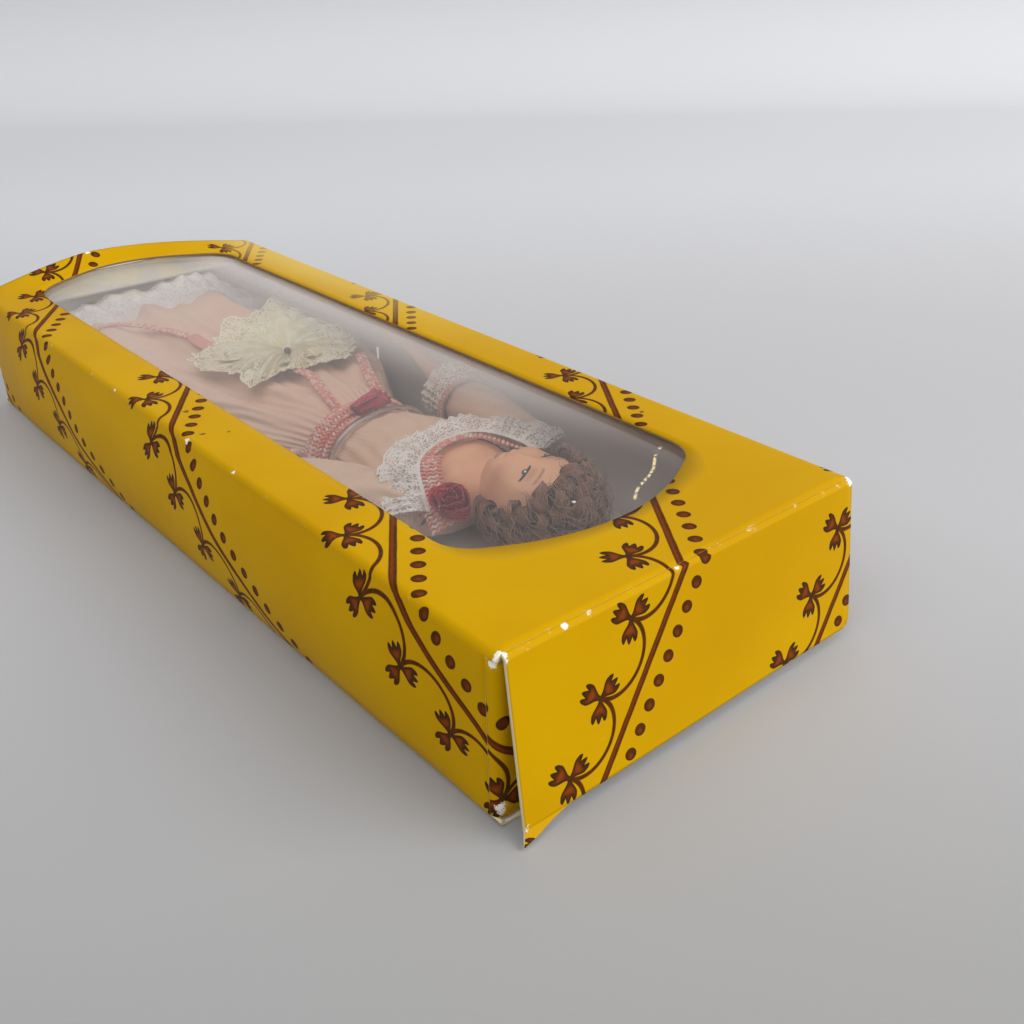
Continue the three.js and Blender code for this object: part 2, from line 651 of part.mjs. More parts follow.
// A ruffle sewn along the neckline and out over both shoulders, its free edge waving.
function collar() {
  const edge = new THREE.CatmullRomCurve3([V(-11.6, -32.6, 15.9), V(-9.2, -28.8, 18), V(-6.9, -25.6, 18.3),
    V(-3, -24, 18.4), V(3, -24.2, 18.4), V(7.2, -26, 18.3), V(9.2, -29.2, 18), V(11.2, -32.4, 16.8)]);
  const steps = 34, face = V(0, 0, ruffle.thickness / 2), rings = [];
  for (let i = 0; i <= steps; i++) {
    const t = i / steps, p = edge.getPointAt(t), along = edge.getTangentAt(t);
    const out = V(-along.y, along.x, 0).normalize();
    const shoulderward = Math.abs(Math.cos(Math.PI * t)) ** 1.5;
    const width = ruffle.frontWidth + (ruffle.shoulderWidth - ruffle.frontWidth) * shoulderward;
    const rise = ruffle.rise + ruffle.shoulderRise * shoulderward + ruffle.wave * Math.sin(i * 1.35);
    const outer = p.clone().addScaledVector(out, width).add(V(0, 0, rise));
    const middle = p.clone().lerp(outer, 0.5).add(V(0, 0, 0.5));
    rings.push([...[p, middle, outer].map((q) => q.clone().add(face)),
      ...[outer, middle, p].map((q) => q.clone().sub(face))]);
  }
  return skin(rings);
}

function necklineBraid() {
  return cord([V(-9.4, -32, 15.6), V(-8.2, -29.6, 16.9), V(-6.6, -27.2, 17.7), V(-5.2, -25.7, 18),
    V(-2.6, -25, 18.2), V(2.6, -25.1, 18.2), V(5.2, -26.4, 17.9), V(6.8, -28.8, 17.4),
    V(8.4, -31.8, 16.2)], 0.45, 32, 6);
}

// A ribbon rolled into a rosebud: a lobed bud on its own axis.
function rose(length, width, height) {
  const rows = 7, columns = 18, rings = [];
  for (let i = 1; i < rows; i++) {
    const polar = (Math.PI * i) / rows;
    rings.push(Array.from({ length: columns }, (_, j) => {
      const a = (2 * Math.PI * j) / columns;
      const lobe = 1 + 0.09 * Math.cos(5 * a + 1.7 * i);
      return V(Math.sin(polar) * Math.cos(a) * lobe * width / 2, -Math.cos(polar) * length / 2,
        Math.sin(polar) * Math.sin(a) * lobe * height / 2);
    }));
  }
  return skin(rings);
}

const sashSections = [
  [-2.6, 10.6, 17, 3.1],
  [-1.7, 11.3, 17.8, 2.8],
  [-0.3, 11.5, 18, 2.8],
  [0.9, 11.2, 17.7, 2.9],
  [1.6, 10.6, 17.1, 3.1],
];

function sash() {
  return cut(bodyLoft(sashSections, 30, {}), torso(clear));
}

const skirtTilt = (y) => rad(lean) * (1 - smooth((y - skirt.top) / 26));
const skirtFold = (y) => skirt.foldDepth * smooth((y - skirt.top) / skirt.hang);

function skirtRing(y, columns, grow, extra = {}) {
  const [, x, w, f, b] = between(skirtSections, y);
  return bodyRing(y, x, w, f, b, columns, { grow, tilt: skirtTilt(y), ...extra });
}

// Height of the skirt's front above the table, for what lies on it.
function skirtTop(x, y) {
  const [, cx, w, f, b] = between(skirtSections, y);
  const middle = (f + b) / 2 - 0.6;
  const c = Math.min(0.98, (Math.abs(x - cx) / w) ** (1 / 0.9));
  return middle + (f - middle) * Math.sqrt(1 - c * c) ** 0.85;
}

function skirtShell() {
  const steps = [0.39, 0.58, 0.79, 0.94].map(skirtAt); // more rings between the sections
  const ys = [...skirtSections.map((row) => row[0]), ...steps].sort((a, b) => a - b);
  const outer = skin(ys.map((y) => skirtRing(y, 52, 0,
    { folds: skirt.folds, foldDepth: skirtFold(y), phase: y / 20 })));
  const inside = [0.072, 0.197, 0.418, 0.695, 0.92, 1.05].map(skirtAt)
    .map((y) => skirtRing(y, 26, -skirt.wall - 2 * skirtFold(y), { backGrow: -skirt.backWall }));
  return cut(outer, skin(inside), torso(clear).rotateZ(rad(lean)).translate(waist.x, waist.y, 0));
}

function petticoatShell() {
  const { top, hem, wall, ease, folds, foldDepth } = petticoat;
  const out = (y) => -skirt.wall - 2 * skirtFold(y) - clear;
  const under = -skirt.backWall - clear;
  const last = skirtSections[skirtSections.length - 1][0] + clear;
  const stations = [0.39, 0.62, 0.83].map(skirtAt);
  const columns = 34;
  const outerRings = [top, ...stations, last]
    .map((y) => skirtRing(y, columns, out(y) - ease, { backGrow: under }));
  for (const [y, grow, share] of [[last + 0.6, 0, 0.6], [(last + hem) / 2 + 0.4, 0.3, 1],
    [hem, petticoat.hemGrow, 1.3]]) {
    outerRings.push(skirtRing(y, columns, grow, { folds, foldDepth: foldDepth * share, backGrow: 0 }));
  }
  const hollow = [top - 1, ...stations, last - 0.8, hem + 1]
    .map((y) => skirtRing(y, 24, out(y) - wall - ease, { backGrow: under - wall + ease }));
  return cut(skin(outerRings), skin(hollow));
}

// A gathered lace rosette on the skirt: its petals rise and fall round the gathering point.
function petal(t, angle) {
  const reach = t * (1 + 0.08 * Math.cos(5 * angle + 0.6));
  const x = rosette.x + rosette.rx * reach * Math.cos(angle);
  const y = rosette.y + rosette.ry * reach * Math.sin(angle);
  const low = skirtTop(x, y) + clear + 0.2 + rosette.frill * t * (1 + Math.cos(rosette.petals * angle));
  return { low: V(x, y, low), high: V(x, y, low + rosette.thickness + rosette.crown * (1 - t)) };
}

function laceRosette() {
  const columns = 40, rows = 4, upper = [], lower = [];
  for (let i = 1; i <= rows; i++) {
    const ring = Array.from({ length: columns }, (_, j) => petal(i / rows, (2 * Math.PI * j) / columns));
    upper.push(ring.map((p) => p.high));
    lower.unshift(ring.map((p) => p.low));
  }
  return skin([...upper, ...lower]);
}

function rosetteBead() {
  const seat = petal(bead.t, bead.angle).high;
  return new THREE.SphereGeometry(bead.radius, 12, 8).translate(seat.x, seat.y, seat.z + bead.radius + clear);
}

function swagCord(points) {
  const { radius, steps } = swag;
  return cord(points.map(([x, y]) => V(x, y, skirtTop(x, y) + clear + radius + 0.1)), radius, steps, 6);
}

// The wire goes up through the card, over the bodice and down again, its ends folded flat under the card.
function wirePath() {
  const [, w, f, b] = between(bodiceSections, wire.station);
  const grow = wire.gap + wire.radius, middle = (f + b) / 2 - 0.6, low = card.top - card.thickness - 0.65;
  const side = w + grow + 0.4;
  const arch = Array.from({ length: 11 }, (_, i) => {
    const a = (Math.PI * i) / 10, c = Math.cos(a), s = Math.sin(a);
    const across = -side * Math.sign(c) * Math.abs(c) ** 0.9;
    return V(across, wire.station, middle + (f - middle + grow) * s ** 0.85);
  });
  return [V(2, wire.station, low), V(-side + 3, wire.station, low), V(-side + 0.3, wire.station, low + 0.5),
    V(-side, wire.station, 4.4), ...arch, V(side, wire.station, 4.4), V(side - 0.3, wire.station, low + 0.5),
    V(side - 3, wire.station, low), V(4, wire.station, low)];
}

// Assembly

const materials = {
  board: plain(0xd6b000, 0.45),
  film: plain(0xe6ecf0, 0.1),
  inner: plain(0xb9b4b8, 0.8),
  steel: plain(0xc9ccd0, 0.25, 1),
  bisque: plain(0xdcb9a2, 0.45),
  hair: plain(0x5f4034, 0.7),
  muslin: plain(0xb9a193, 0.85),
  calico: plain(0xd9cfc0, 0.9),
  pink: plain(0xc3a095, 0.85),
  lace: plain(0xd8d6d4, 0.9),
  cream: plain(0xd9d3b4, 0.9),
  braid: plain(0xd08a86, 0.6),
  rose: plain(0x8c2a3e, 0.55),
  bead: plain(0x5b4632, 0.4),
};

function mesh(name, geometry, material) {
  const piece = new THREE.Mesh(geometry, material);
  piece.name = name;
  piece.geometry.computeVertexNormals();
  return piece;
}

function group(x, y, z, ...children) {
  const g = new THREE.Group();
  g.position.set(x, y, z);
  return g.add(...children);
}

const doll = new THREE.Group();
doll.add(mesh('carton_sleeve', cartonSleeve(), materials.board));
doll.add(mesh('window_film', windowFilm(), materials.film));

// Head end closure: the flap leans out a little, and its tongue lies on the carton's floor.
const creaseY = half.length + clear + carton.board / 2;
const headTongue = group(0, carton.board / 2, -endFlap.headLength + 0.1, mesh('head_end_tongue',
  tuckTongue(tongue.headHalfWidth, tongue.headDepth), materials.board));
headTongue.rotation.x = rad(endFlap.headTilt - tongue.headDroop);
const headFlap = group(0, -creaseY, carton.height - endFlap.pivotInset, mesh('head_end_flap', headEndFlap(),
  materials.board), headTongue);
headFlap.rotation.x = -rad(endFlap.headTilt);
doll.add(headFlap);

// Foot end closure: creased at the floor, its tongue tucked under the bowed strip.
const footTongue = group(0, -carton.board / 2, endFlap.footLength - 0.2, mesh('foot_end_tongue',
  tuckTongue(tongue.footHalfWidth, tongue.footDepth).rotateZ(Math.PI), materials.board));
footTongue.rotation.x = rad(tongue.footDroop);
const footFlap = group(0, creaseY, 0.45, mesh('foot_end_flap', footEndFlap(), materials.board), footTongue);
doll.add(footFlap);

// Dust flaps: one shape, turned for each corner.
for (const [end, endSign] of [['head', -1], ['foot', 1]]) {
  for (const [side, sideSign] of [['left', -1], ['right', 1]]) {
    const flap = group(sideSign * (half.width - dust.foldRadius), endSign * foldLine, 0,
      mesh(`${end}_dust_flap_${side}`, dustFlap(), materials.board));
    const turned = endSign === -1 ? sideSign === 1 : sideSign === -1;
    if (endSign === 1) flap.rotation.z = Math.PI;
    if (turned) {
      flap.children[0].rotation.y = Math.PI;
      flap.children[0].position.z = carton.height;
    }
    doll.add(flap);
  }
}

// Doll on its card
const arms = { right: armPieces('right'), left: armPieces('left') };
const sleeveSweep = sweptSleeves(arms);
const upperBody = group(waist.x, waist.y, 0,
  mesh('doll_head', dollHead(), materials.bisque),
  mesh('wig', wig(), materials.hair),
  mesh('torso', torso(), materials.calico),
  mesh('bodice', bodice(sleeveSweep), materials.muslin),
  mesh('collar', collar(), materials.lace),
  mesh('neckline_braid', necklineBraid(), materials.braid),
  mesh('sash', sash(), materials.braid),
  group(...roses.shoulder.at, mesh('shoulder_rose', rose(...roses.shoulder.size), materials.rose)),
  group(...roses.waist.at, mesh('waist_rose', rose(...roses.waist.size), materials.rose)),
  mesh('retaining_wire', cord(wirePath(), wire.radius, 52, 6), materials.steel),
);
upperBody.rotation.z = rad(lean);
doll.add(upperBody);

const holes = [wirePath()[3], wirePath().at(-4)]
  .map((p) => spin(p.x, p.y, lean).add(V(waist.x, waist.y, 0)));
doll.add(mesh('backing_card', backingCard(holes), materials.inner));

for (const side of ['right', 'left']) {
  const out = side === 'right' ? 1 : -1;
  const joint = spin(out * shoulder.across, shoulder.along, lean).add(V(waist.x, waist.y, 0));
  const pieces = arms[side];
  doll.add(group(joint.x, joint.y, shoulder.z,
    mesh(`${side}_upper_arm`, pieces.upperArm, materials.calico),
    mesh(`${side}_forearm`, pieces.forearm, materials.bisque),
    mesh(`${side}_sleeve`, pieces.sleeve, materials.muslin),
    mesh(`${side}_cuff`, pieces.cuff, materials.lace)));
  doll.add(group(waist.x + out * hip.across, hip.y, hip.z,
    mesh(`${side}_upper_leg`, upperLeg(), materials.calico),
    mesh(`${side}_lower_leg`, lowerLeg(), materials.bisque)));
}

doll.add(mesh('skirt', skirtShell(), materials.pink));
doll.add(mesh('petticoat', petticoatShell(), materials.lace));
doll.add(mesh('lace_rosette', laceRosette(), materials.cream));
doll.add(mesh('rosette_bead', rosetteBead(), materials.bead));
for (const [side, points] of Object.entries(swagPaths)) {
  doll.add(mesh(`${side}_swag_cord`, swagCord(points), materials.braid));
}

export default doll;
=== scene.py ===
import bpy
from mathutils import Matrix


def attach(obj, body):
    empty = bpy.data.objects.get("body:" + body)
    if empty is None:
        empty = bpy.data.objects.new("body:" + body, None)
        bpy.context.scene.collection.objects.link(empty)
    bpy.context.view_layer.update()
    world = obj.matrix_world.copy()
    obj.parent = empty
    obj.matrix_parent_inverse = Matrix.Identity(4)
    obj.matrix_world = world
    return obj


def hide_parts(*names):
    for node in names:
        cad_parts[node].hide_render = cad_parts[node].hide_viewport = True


bl_info = {
    "name": "Boxed Miniature Doll",
    "version": (1, 0, 0),
    "blender": (4, 5, 0),
    "location": "3D View > Sidebar > Doll",
    "description": "Dresses a miniature bisque doll and the window carton that it lies in",
    "category": "Object",
}

import functools
import math

import bmesh
import bpy
import numpy as np
from bpy.props import FloatProperty, FloatVectorProperty, IntProperty, PointerProperty
from mathutils import Matrix, Vector
from mathutils import noise as hills

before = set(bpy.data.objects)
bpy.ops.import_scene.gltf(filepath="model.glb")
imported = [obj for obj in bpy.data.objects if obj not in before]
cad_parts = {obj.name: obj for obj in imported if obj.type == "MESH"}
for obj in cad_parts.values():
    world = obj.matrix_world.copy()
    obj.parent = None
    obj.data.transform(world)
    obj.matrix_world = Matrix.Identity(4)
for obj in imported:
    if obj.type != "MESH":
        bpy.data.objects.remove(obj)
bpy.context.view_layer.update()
MM = 0.001


# Mesh helpers. Points are in millimetres, in the carton's own frame.


def make_piece(name, points, faces, finish, uv=None):
    """An object of smooth faces; its finish is the name of one material, or several names."""
    mesh = bpy.data.meshes.new(name)
    mesh.from_pydata([tuple(c * MM for c in p) for p in points], [], faces)
    mesh.update()
    if uv is not None:
        layer = mesh.uv_layers.new(name="sheet")
        flat = np.array(uv, float)[[v for p in mesh.polygons for v in p.vertices]]
        layer.data.foreach_set("uv", flat.ravel())
    mesh.polygons.foreach_set("use_smooth", [True] * len(mesh.polygons))
    piece = bpy.data.objects.new(name, mesh)
    bpy.context.scene.collection.objects.link(piece)
    for one in [finish] if isinstance(finish, str) else finish:
        mesh.materials.append(bpy.data.materials[one])
    return piece


def place(piece, body, slot, *nodes):
    """Says which of the frame's pieces this one replaces and the body that carries it; the slot argument is
    not used.
    """
    if nodes:
        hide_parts(*nodes)
    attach(piece, body)
    return piece


def refinish(node, finish):
    """Gives one of the frame's own pieces a finish."""
    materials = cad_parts[node].data.materials
    materials.clear()
    materials.append(bpy.data.materials[finish])


def grid_faces(rows, columns, closed=False):
    faces = []
    for i in range(rows - 1):
        for j in range(columns if closed else columns - 1):
            a, b = i * columns + j, i * columns + (j + 1) % columns
            faces.append((a, b, b + columns, a + columns))
    return faces


def grid_uv(rows, columns, across, along):
    """Sheet coordinates of an even grid, from the size of one step across and along."""
    return [[(j * across, i * along) for j in range(columns)] for i in range(rows)]


def skin(rings):
    """Points and faces of a solid through rings of points."""
    count = len(rings[0])
    points = [tuple(p) for ring in rings for p in ring]
    faces = grid_faces(len(rings), count, closed=True)
    for base, turn in ((0, 1), (len(points) - count, -1)):
        middle = np.mean(np.array(points[base : base + count]), axis=0)
        points.append(tuple(middle))
        tip = len(points) - 1
        for j in range(count):
            a, b = base + j, base + (j + 1) % count
            faces.append((b, a, tip) if turn == 1 else (a, b, tip))
    return points, faces


def modify(piece, kind, **settings):
    modifier = piece.modifiers.new(kind.title(), kind)
    for key, value in settings.items():
        setattr(modifier, key, value)


def bake_modifiers(piece):
    """Turns a piece's modifiers into plain mesh."""
    graph = bpy.context.evaluated_depsgraph_get()
    mesh = bpy.data.meshes.new_from_object(piece.evaluated_get(graph))
    piece.modifiers.clear()
    old = piece.data
    piece.data = mesh
    bpy.data.meshes.remove(old)


def face_out(piece, direction=None):
    """Turns a closed piece's faces outwards, or an open one's towards a direction."""
    work = bmesh.new()
    work.from_mesh(piece.data)
    if direction is None:
        bmesh.ops.recalc_face_normals(work, faces=work.faces)
    else:
        towards = Vector(direction)
        if sum(f.normal.dot(towards) * f.calc_area() for f in work.faces) < 0:
            bmesh.ops.reverse_faces(work, faces=work.faces)
    work.to_mesh(piece.data)
    work.free()
    return piece


def curve_points(points, count):
    """A Catmull-Rom curve through points, sampled evenly along its length."""
    p = np.array(points, float)
    p = np.vstack([2 * p[0] - p[1], p, 2 * p[-1] - p[-2]])
    fine = []
    for i in range(1, len(p) - 2):
        for t in np.linspace(0, 1, 24, endpoint=False):
            a, b, c, d = p[i - 1 : i + 3]
            fine.append(0.5 * (2 * b + (c - a) * t + (2 * a - 5 * b + 4 * c - d) * t**2
                               + (3 * b - a - 3 * c + d) * t**3))
    fine = np.array([*fine, p[-2]])
    run = path_run(fine)
    return along_path(fine, run, np.linspace(0, run[-1], count))


def path_run(path):
    """How far along a path each of its points lies."""
    return np.concatenate([[0], np.cumsum(np.linalg.norm(np.diff(path, axis=0), axis=1))])


def along_path(path, run, at):
    return np.stack([np.interp(at, run, path[:, k]) for k in range(3)], axis=1)


def unit_rows(vectors, tiny=0.0):
    return vectors / (np.linalg.norm(vectors, axis=1)[:, None] + tiny)


def tube(path, radii, sides):
    """Points and faces of a thread along a path, with a radius for each of its points."""
    along = unit_rows(np.gradient(path, axis=0), 1e-12)
    side = np.cross(along[0], (0.13, 0.21, 0.97))
    turn = np.linspace(0, 2 * np.pi, sides, endpoint=False)[:, None]
    rings = []
    for i, t in enumerate(along):
        side = side - t * np.dot(side, t)
        side /= np.linalg.norm(side) + 1e-12
        rings.append(path[i] + radii[i] * (np.cos(turn) * side - np.sin(turn) * np.cross(side, t)))
    return skin(rings)


def smooth_step(t):
    t = np.clip(t, 0, 1)
    return t * t * (3 - 2 * t)


# Shader helpers


class Sock:
    """An output of a shader node that can be used in Python arithmetic."""

    def __init__(self, shade, socket):
        self.shade, self.socket = shade, socket

    def __rsub__(self, other):
        return self.shade.math("SUBTRACT", other, self)


for method, operation in (("add", "ADD"), ("radd", "ADD"), ("sub", "SUBTRACT"), ("mul", "MULTIPLY"),
                          ("rmul", "MULTIPLY"), ("truediv", "DIVIDE"), ("pow", "POWER"), ("lt", "LESS_THAN"),
                          ("gt", "GREATER_THAN"), ("mod", "FLOORED_MODULO")):
    setattr(Sock, f"__{method}__", lambda a, b, kind=operation: a.shade.math(kind, a, b))


class Shade:
    """Builds one material's node tree."""

    def __init__(self, name):
        self.material = bpy.data.materials.new(name)
        self.material.use_nodes = True
        self.tree = self.material.node_tree
        self.tree.nodes.clear()

    def node(self, kind, inputs=None, out=0, **settings):
        made = self.tree.nodes.new(kind)
        for key, value in settings.items():
            setattr(made, key, value)
        for key, value in (inputs or {}).items():
            self.feed(made.inputs[key], value)
        return Sock(self, made.outputs[out])

    def feed(self, socket, value):
        if isinstance(value, Sock):
            self.tree.links.new(value.socket, socket)
        elif socket.type == "RGBA" and len(value) == 3:
            socket.default_value = (*value, 1.0)
        else:
            socket.default_value = value

    def math(self, operation, a, b=0.0, c=0.0):
        return self.node("ShaderNodeMath", {0: a, 1: b, 2: c}, operation=operation)

    def soft(self, value, low, high):
        """0 at low, 1 at high, smooth between."""
        return self.node("ShaderNodeMapRange", {0: value, 1: low, 2: high, 3: 0.0, 4: 1.0},
                         interpolation_type="SMOOTHSTEP", clamp=True)

    def least(self, a, b):
        return self.math("MINIMUM", a, b)

    def most(self, *parts):
        return functools.reduce(lambda a, b: self.math("MAXIMUM", a, b), parts)

    def abs(self, value):
        return self.math("ABSOLUTE", value)

    def sine(self, value):
        return self.math("SINE", value)

    def oval(self, *parts):
        """Distance from a middle, 1 on the oval; each part is a distance along an axis and its radius."""
        return self.math("SQRT", functools.reduce(lambda a, b: a + b, [(d / r) ** 2.0 for d, r in parts]))

    def apart(self, at, point):
        return self.node("ShaderNodeVectorMath", {0: at, 1: point}, out=1, operation="DISTANCE")

    def object_mm(self, rotate=(0, 0, 0), about=(0, 0, 0)):
        """Object coordinates in millimetres, moved and turned to a piece's own axes."""
        at = self.node("ShaderNodeTexCoord", out=3)
        shifted = self.node("ShaderNodeVectorMath", {0: at, 1: tuple(c * MM for c in about)},
                            operation="SUBTRACT")
        turned = self.node("ShaderNodeVectorRotate", {"Vector": shifted, "Rotation": rotate},
                           rotation_type="EULER_XYZ")
        return self.node("ShaderNodeVectorMath", {0: turned, "Scale": 1 / MM}, operation="SCALE")

    def sheet(self):
        return self.node("ShaderNodeUVMap", uv_map="sheet")

    def split(self, vector):
        made = self.tree.nodes.new("ShaderNodeSeparateXYZ")
        self.feed(made.inputs[0], vector)
        return [Sock(self, o) for o in made.outputs]

    def vector(self, x, y, z=0.0):
        return self.node("ShaderNodeCombineXYZ", {0: x, 1: y, 2: z})

    def noise(self, at, scale, detail=2.0, rough=0.5, warp=0.0):
        return self.node("ShaderNodeTexNoise", {"Vector": at, "Scale": scale, "Detail": detail,
                                                "Roughness": rough, "Distortion": warp})

    def cell_edges(self, at, scale, randomness=1.0):
        """Distance to the nearest edge between cells."""
        return self.node("ShaderNodeTexVoronoi", {"Vector": at, "Scale": scale, "Randomness": randomness},
                         feature="DISTANCE_TO_EDGE")

    def mix(self, factor, a, b):
        return self.node("ShaderNodeMix", {0: factor, 6: a, 7: b}, out=2, data_type="RGBA")

    def bump(self, height, distance, strength):
        return self.node("ShaderNodeBump",
                         {"Height": height, "Distance": distance * MM, "Strength": strength})

    def principled(self, **inputs):
        named = {key.replace("_", " ").title().replace("Ior", "IOR"): v for key, v in inputs.items()}
        return self.node("ShaderNodeBsdfPrincipled", named)

    def done(self, shader):
        output = self.tree.nodes.new("ShaderNodeOutputMaterial")
        self.feed(output.inputs["Surface"], shader)

    def coat(self, **inputs):
        self.done(self.principled(**inputs))


def rgb(red, green, blue):
    """A colour as it looks in the render, from 0-255 values, to linear."""
    def linear(c):
        c /= 255
        return c / 12.92 if c <= 0.04045 else ((c + 0.055) / 1.055) ** 2.4
    return tuple(linear(c) for c in (red, green, blue))


# Sizes and colours that a user would change


def amount(name, description, default, **limits):
    return FloatProperty(name=name, description=description, default=default, **limits)


def paint(name, description, *colour):
    return FloatVectorProperty(name=name, description=description, subtype="COLOR", size=3,
                               default=rgb(*colour))


class CartonSettings(bpy.types.PropertyGroup):
    board: amount("Board", "Thickness of the board in mm", 0.5)
    belly: amount("Belly", "How far the long walls bow outwards in mm", 2.4)
    lift: amount("Lift", "How far the foot end's strip bows up in mm", 4.9)
    print_ground: paint("Ground", "Ground colour of the print", 192, 149, 0)
    print_motif: paint("Motif", "Colour of the vine and beads", 76, 30, 13)
    band_period: amount("Band Period", "Distance between bands of the print, in mm along the carton", 61.5)
    sprig_spacing: amount("Sprig Spacing", "Distance between sprigs in mm", 10.2)
    bead_spacing: amount("Bead Spacing", "Distance between beads in mm", 3.28)
    wear: amount("Wear", "How much of the print is rubbed off along the folds", 1.0, min=0.0, max=1.0)


class DollSettings(bpy.types.PropertyGroup):
    flesh: paint("Flesh", "Colour of the painted bisque", 250, 190, 148)
    dress: paint("Dress", "Colour of the skirt", 250, 212, 184)
    locks: IntProperty(name="Locks", description="Number of curls on the head", default=200, min=20)


# Carton shapes

HALF_LENGTH, HALF_WIDTH, HEIGHT, FOLD = 87.5, 32.5, 25.0, 1.2
BOW_PEAK, BOW_REACH = -8.0, 17.5  # across and along the foot end's strip
SLOT_Y, SLOT_LOW, SLOT_HIGH, SLOT_SLACK = 85.7, 1.0, 24.0, 0.4  # cuts in the walls for the dust flaps
WINDOW = dict(half=22.5, head=-66.5, head_arc=-74.3, foot=79.5, foot_arc=82.7, corner=4.0)


def lift(x, y):
    """How far the top panel rises over the tucked foot end."""
    along = max(0.0, (y - (HALF_LENGTH - BOW_REACH)) / BOW_REACH)
    left = max(0.0, (x + HALF_WIDTH) / (BOW_PEAK + HALF_WIDTH))
    right = max(0.0, (HALF_WIDTH - x) / (HALF_WIDTH - BOW_PEAK))
    t = 0.5 * (left + math.sin(left * math.pi / 2)) if x < BOW_PEAK else math.sin(right * math.pi / 2)
    return bpy.context.scene.carton.lift * t * along * along


def belly(y, z):
    """How far the long walls bow outwards."""
    reach = smooth_step((HALF_LENGTH - abs(y)) / 27.0)
    return bpy.context.scene.carton.belly * reach * (1 - (2 * z / HEIGHT - 1) ** 2)


def dent(y, z, side):
    """Slight unevenness of the long walls."""
    calm = smooth_step((HALF_LENGTH - abs(y)) / 8) * (1 - (2 * z / HEIGHT - 1) ** 2)
    return calm * (0.16 * math.sin(y / 9.3 + side) + 0.1 * math.sin(y / 4.1 + z / 5 + 2 * side))


def window_outline():
    half, head, head_arc, foot, foot_arc, r = WINDOW.values()
    head_rise, foot_rise = r * 0.55, r * 0.3  # how far the arched ends rise within the corners

    def bend(a, b, c, n=10):
        t = np.linspace(0, 1, n, endpoint=False)[:, None]
        a, b, c = (np.array(q, float) for q in (a, b, c))
        return (1 - t) ** 2 * a + 2 * t * (1 - t) * b + t * t * c

    return np.vstack([
        bend((-half, head + r), (-half, head), (-half + r, head - head_rise)),
        bend((-half + r, head - head_rise), (0, 2 * head_arc - head + head_rise),
             (half - r, head - head_rise), 40),
        bend((half - r, head - head_rise), (half, head), (half, head + r)),
        [(half, head + r)],
        bend((half, foot - r), (half, foot), (half - r, foot + foot_rise)),
        bend((half - r, foot + foot_rise), (0, 2 * foot_arc - foot - foot_rise),
             (-half + r, foot + foot_rise), 40),
        bend((-half + r, foot + foot_rise), (-half, foot), (-half, foot - r)),
        [(-half, foot - r)],
    ])


def ray_hit(outline, start, end):
    """Where the line from start towards end leaves the outline."""
    d = np.array(end, float) - start
    e = np.roll(outline, -1, axis=0) - outline
    q = outline - start
    cross = d[0] * e[:, 1] - d[1] * e[:, 0]
    cross = np.where(abs(cross) < 1e-9, 1e-9, cross)
    t = (q[:, 0] * e[:, 1] - q[:, 1] * e[:, 0]) / cross
    u = (q[:, 0] * d[1] - q[:, 1] * d[0]) / cross
    good = (t > 0) & (u >= -1e-6) & (u <= 1 + 1e-6)
    return start + d * t[good].min()


def round_fold(x, z, start, end, count, run):
    """A fold's rounding about (x, z): its points, each with its place across the flat board."""
    return [(x + FOLD * math.cos(a), z + FOLD * math.sin(a), run - FOLD * (a - start))
            for a in np.linspace(start, end, count)]


def wall_profile(edge_x):
    """The ring from one edge of the top panel round the base to the other: x, z and place on the sheet."""
    wall = np.linspace(HEIGHT - FOLD, FOLD, 12)[1:-1]
    return [
        *round_fold(-edge_x, HEIGHT - FOLD, math.pi / 2, math.pi, 7, 1.2)[1:],
        *[(-HALF_WIDTH, z, -(HEIGHT - z) + 0.5) for z in wall],
        *round_fold(-edge_x, FOLD, math.pi, 1.5 * math.pi, 6, -23.3),
        *[(x, 0.0, -25.2 - (x + edge_x)) for x in np.linspace(-edge_x, edge_x, 18)[1:-1]],
        *round_fold(edge_x, FOLD, 1.5 * math.pi, 2 * math.pi, 6, 88.4),
        *[(HALF_WIDTH, z, 64.5 + (HEIGHT - z)) for z in wall[::-1]],
        *round_fold(edge_x, HEIGHT - FOLD, 0, math.pi / 2, 7, 65.7)[:-1],
    ]


